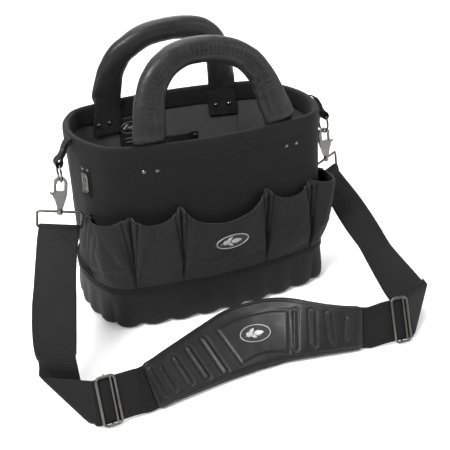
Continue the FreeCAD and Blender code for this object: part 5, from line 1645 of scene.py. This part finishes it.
for label, (c, t, w) in SLIDES.items():
    c, t, w = np.array(c), np.array(t), np.array(w)
    w = w - t * np.dot(w, t)
    w /= np.linalg.norm(w)
    n = np.cross(t, w)
    if n[1] > 0:
        n = -n
    pt = lambda x, y, z: c + t * x + w * z + n * y
    sx_ = 1
    loop_ = [pt(x, 3.0, z) for x, z in rounded_loop(10.0, 26.8, 4.5)]
    fr = tube("fr", loop_, 1.5, DARKNI, seg=12, closed=True)
    bar = tube("bar", [pt(5.4 * sx_, 3.0, z) for z in np.linspace(-26.5, 26.5, 20)], 1.2, DARKNI, seg=12)
    legs = []
    for sgn in (-1, 1):
        legs.append(tube("leg", [pt(0, y, sgn * 27.0) for y in np.linspace(3.0, -2.6, 6)], 1.25, DARKNI, seg=10))
    keep = tube("keep", [pt(0, -2.6, z) for z in np.linspace(-27.0, 27.0, 20)], 1.0, DARKNI, seg=10)
    o = join(label + "_wire", [fr, bar, keep] + legs)
    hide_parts(label)
    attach(o, label + "_body")

# ---------------------------------------------------------------- carried over metal and board
METAL = ["left_ring", "right_ring", "left_hook", "right_hook", "left_gate", "right_gate", "left_gate_pin", "right_gate_pin", "left_swivel_stud", "right_swivel_stud", "left_strap_ring", "right_strap_ring"]
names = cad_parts
for nm in list(names):
    o = names[nm]
    if nm in METAL or any(k in nm for k in ("hook", "gate", "ring", "stud", "pin")) and nm not in ("left_ring_tab", "right_ring_tab"):
        o.data.materials.clear()
        o.data.materials.append(DARKNI if "gate" in nm else NICKEL if nm.endswith("_pin") else HOOKNI)
        bevel(o, 0.35, 2)
o = names["bottom_board"]
o.data.materials.clear()
o.data.materials.append(BOARD)

# ---------------------------------------------------------------- stage, lights, camera
floor_mat, b = None, None
fm, nt, bs_ = mat_new("floor_pale")
bs_.inputs["Base Color"].default_value = (0.9, 0.9, 0.9, 1)
bs_.inputs["Emission Color"].default_value = (1, 1, 1, 1)
bs_.inputs["Emission Strength"].default_value = 0.22
bs_.inputs["Roughness"].default_value = 0.95
bs_.inputs["Specular IOR Level"].default_value = 0.1
me = bpy.data.meshes.new("floor")
# floor that curves up into a backdrop
fv, ff = [], []
prof = [(-3.0, -0.0005), (1.6, -0.0005)] + [(1.6 + 1.2 * math.sin(a), 1.2 - 1.2 * math.cos(a) - 0.0005) for a in np.linspace(0.1, math.pi / 2, 14)] + [(2.8, 4.0)]
for y, z in prof:
    fv += [(-5, y, z), (5, y, z)]
for k in range(len(prof) - 1):
    ff.append((2 * k, 2 * k + 1, 2 * k + 3, 2 * k + 2))
me.from_pydata(fv, [], ff)
me.polygons.foreach_set("use_smooth", [True] * len(me.polygons))
me.materials.append(fm)
floor = bpy.data.objects.new("floor", me)
bpy.context.scene.collection.objects.link(floor)


def area(name, loc, target, size, power, size_y=None):
    l = bpy.data.lights.new(name, "AREA")
    l.energy = power
    l.size = size
    if size_y:
        l.shape = "RECTANGLE"
        l.size_y = size_y
    o = bpy.data.objects.new(name, l)
    o.location = loc
    d = Vector(target) - Vector(loc)
    o.rotation_euler = d.to_track_quat("-Z", "Y").to_euler()
    bpy.context.scene.collection.objects.link(o)
    return o


area("key", (-1.3, -1.0, 1.7), (0, 0, 0.15), 0.6, 58)
area("fill", (1.6, -1.2, 1.2), (0, -0.1, 0.15), 1.2, 12)
area("top", (0.0, 0.2, 2.4), (0, 0, 0.2), 1.6, 52)
area("back", (0.3, 1.4, 1.3), (0, 0, 0.25), 1.2, 14)
wd = bpy.data.worlds.new("studio")
bpy.context.scene.world = wd
wd.use_nodes = True
wd.node_tree.nodes["Background"].inputs[0].default_value = (1, 1, 1, 1)
wd.node_tree.nodes["Background"].inputs[1].default_value = 0.38

cam = bpy.data.cameras.new("camera")
cam.lens = 63.76
cam.sensor_width = 36
cam.clip_start = 0.01
co_ = bpy.data.objects.new("camera", cam)
R, U, F = (0.91685, -0.39713, -0.04094), (0.20516, 0.38069, 0.90166), (0.34249, 0.83508, -0.43051)
from mathutils import Matrix
M = Matrix(((R[0], U[0], -F[0], -0.34265), (R[1], U[1], -F[1], -0.93159), (R[2], U[2], -F[2], 0.55056), (0, 0, 0, 1)))
co_.matrix_world = M
bpy.context.scene.collection.objects.link(co_)
bpy.context.scene.camera = co_
bpy.context.scene.view_settings.view_transform = "Standard"

bpy.context.view_layer.update()
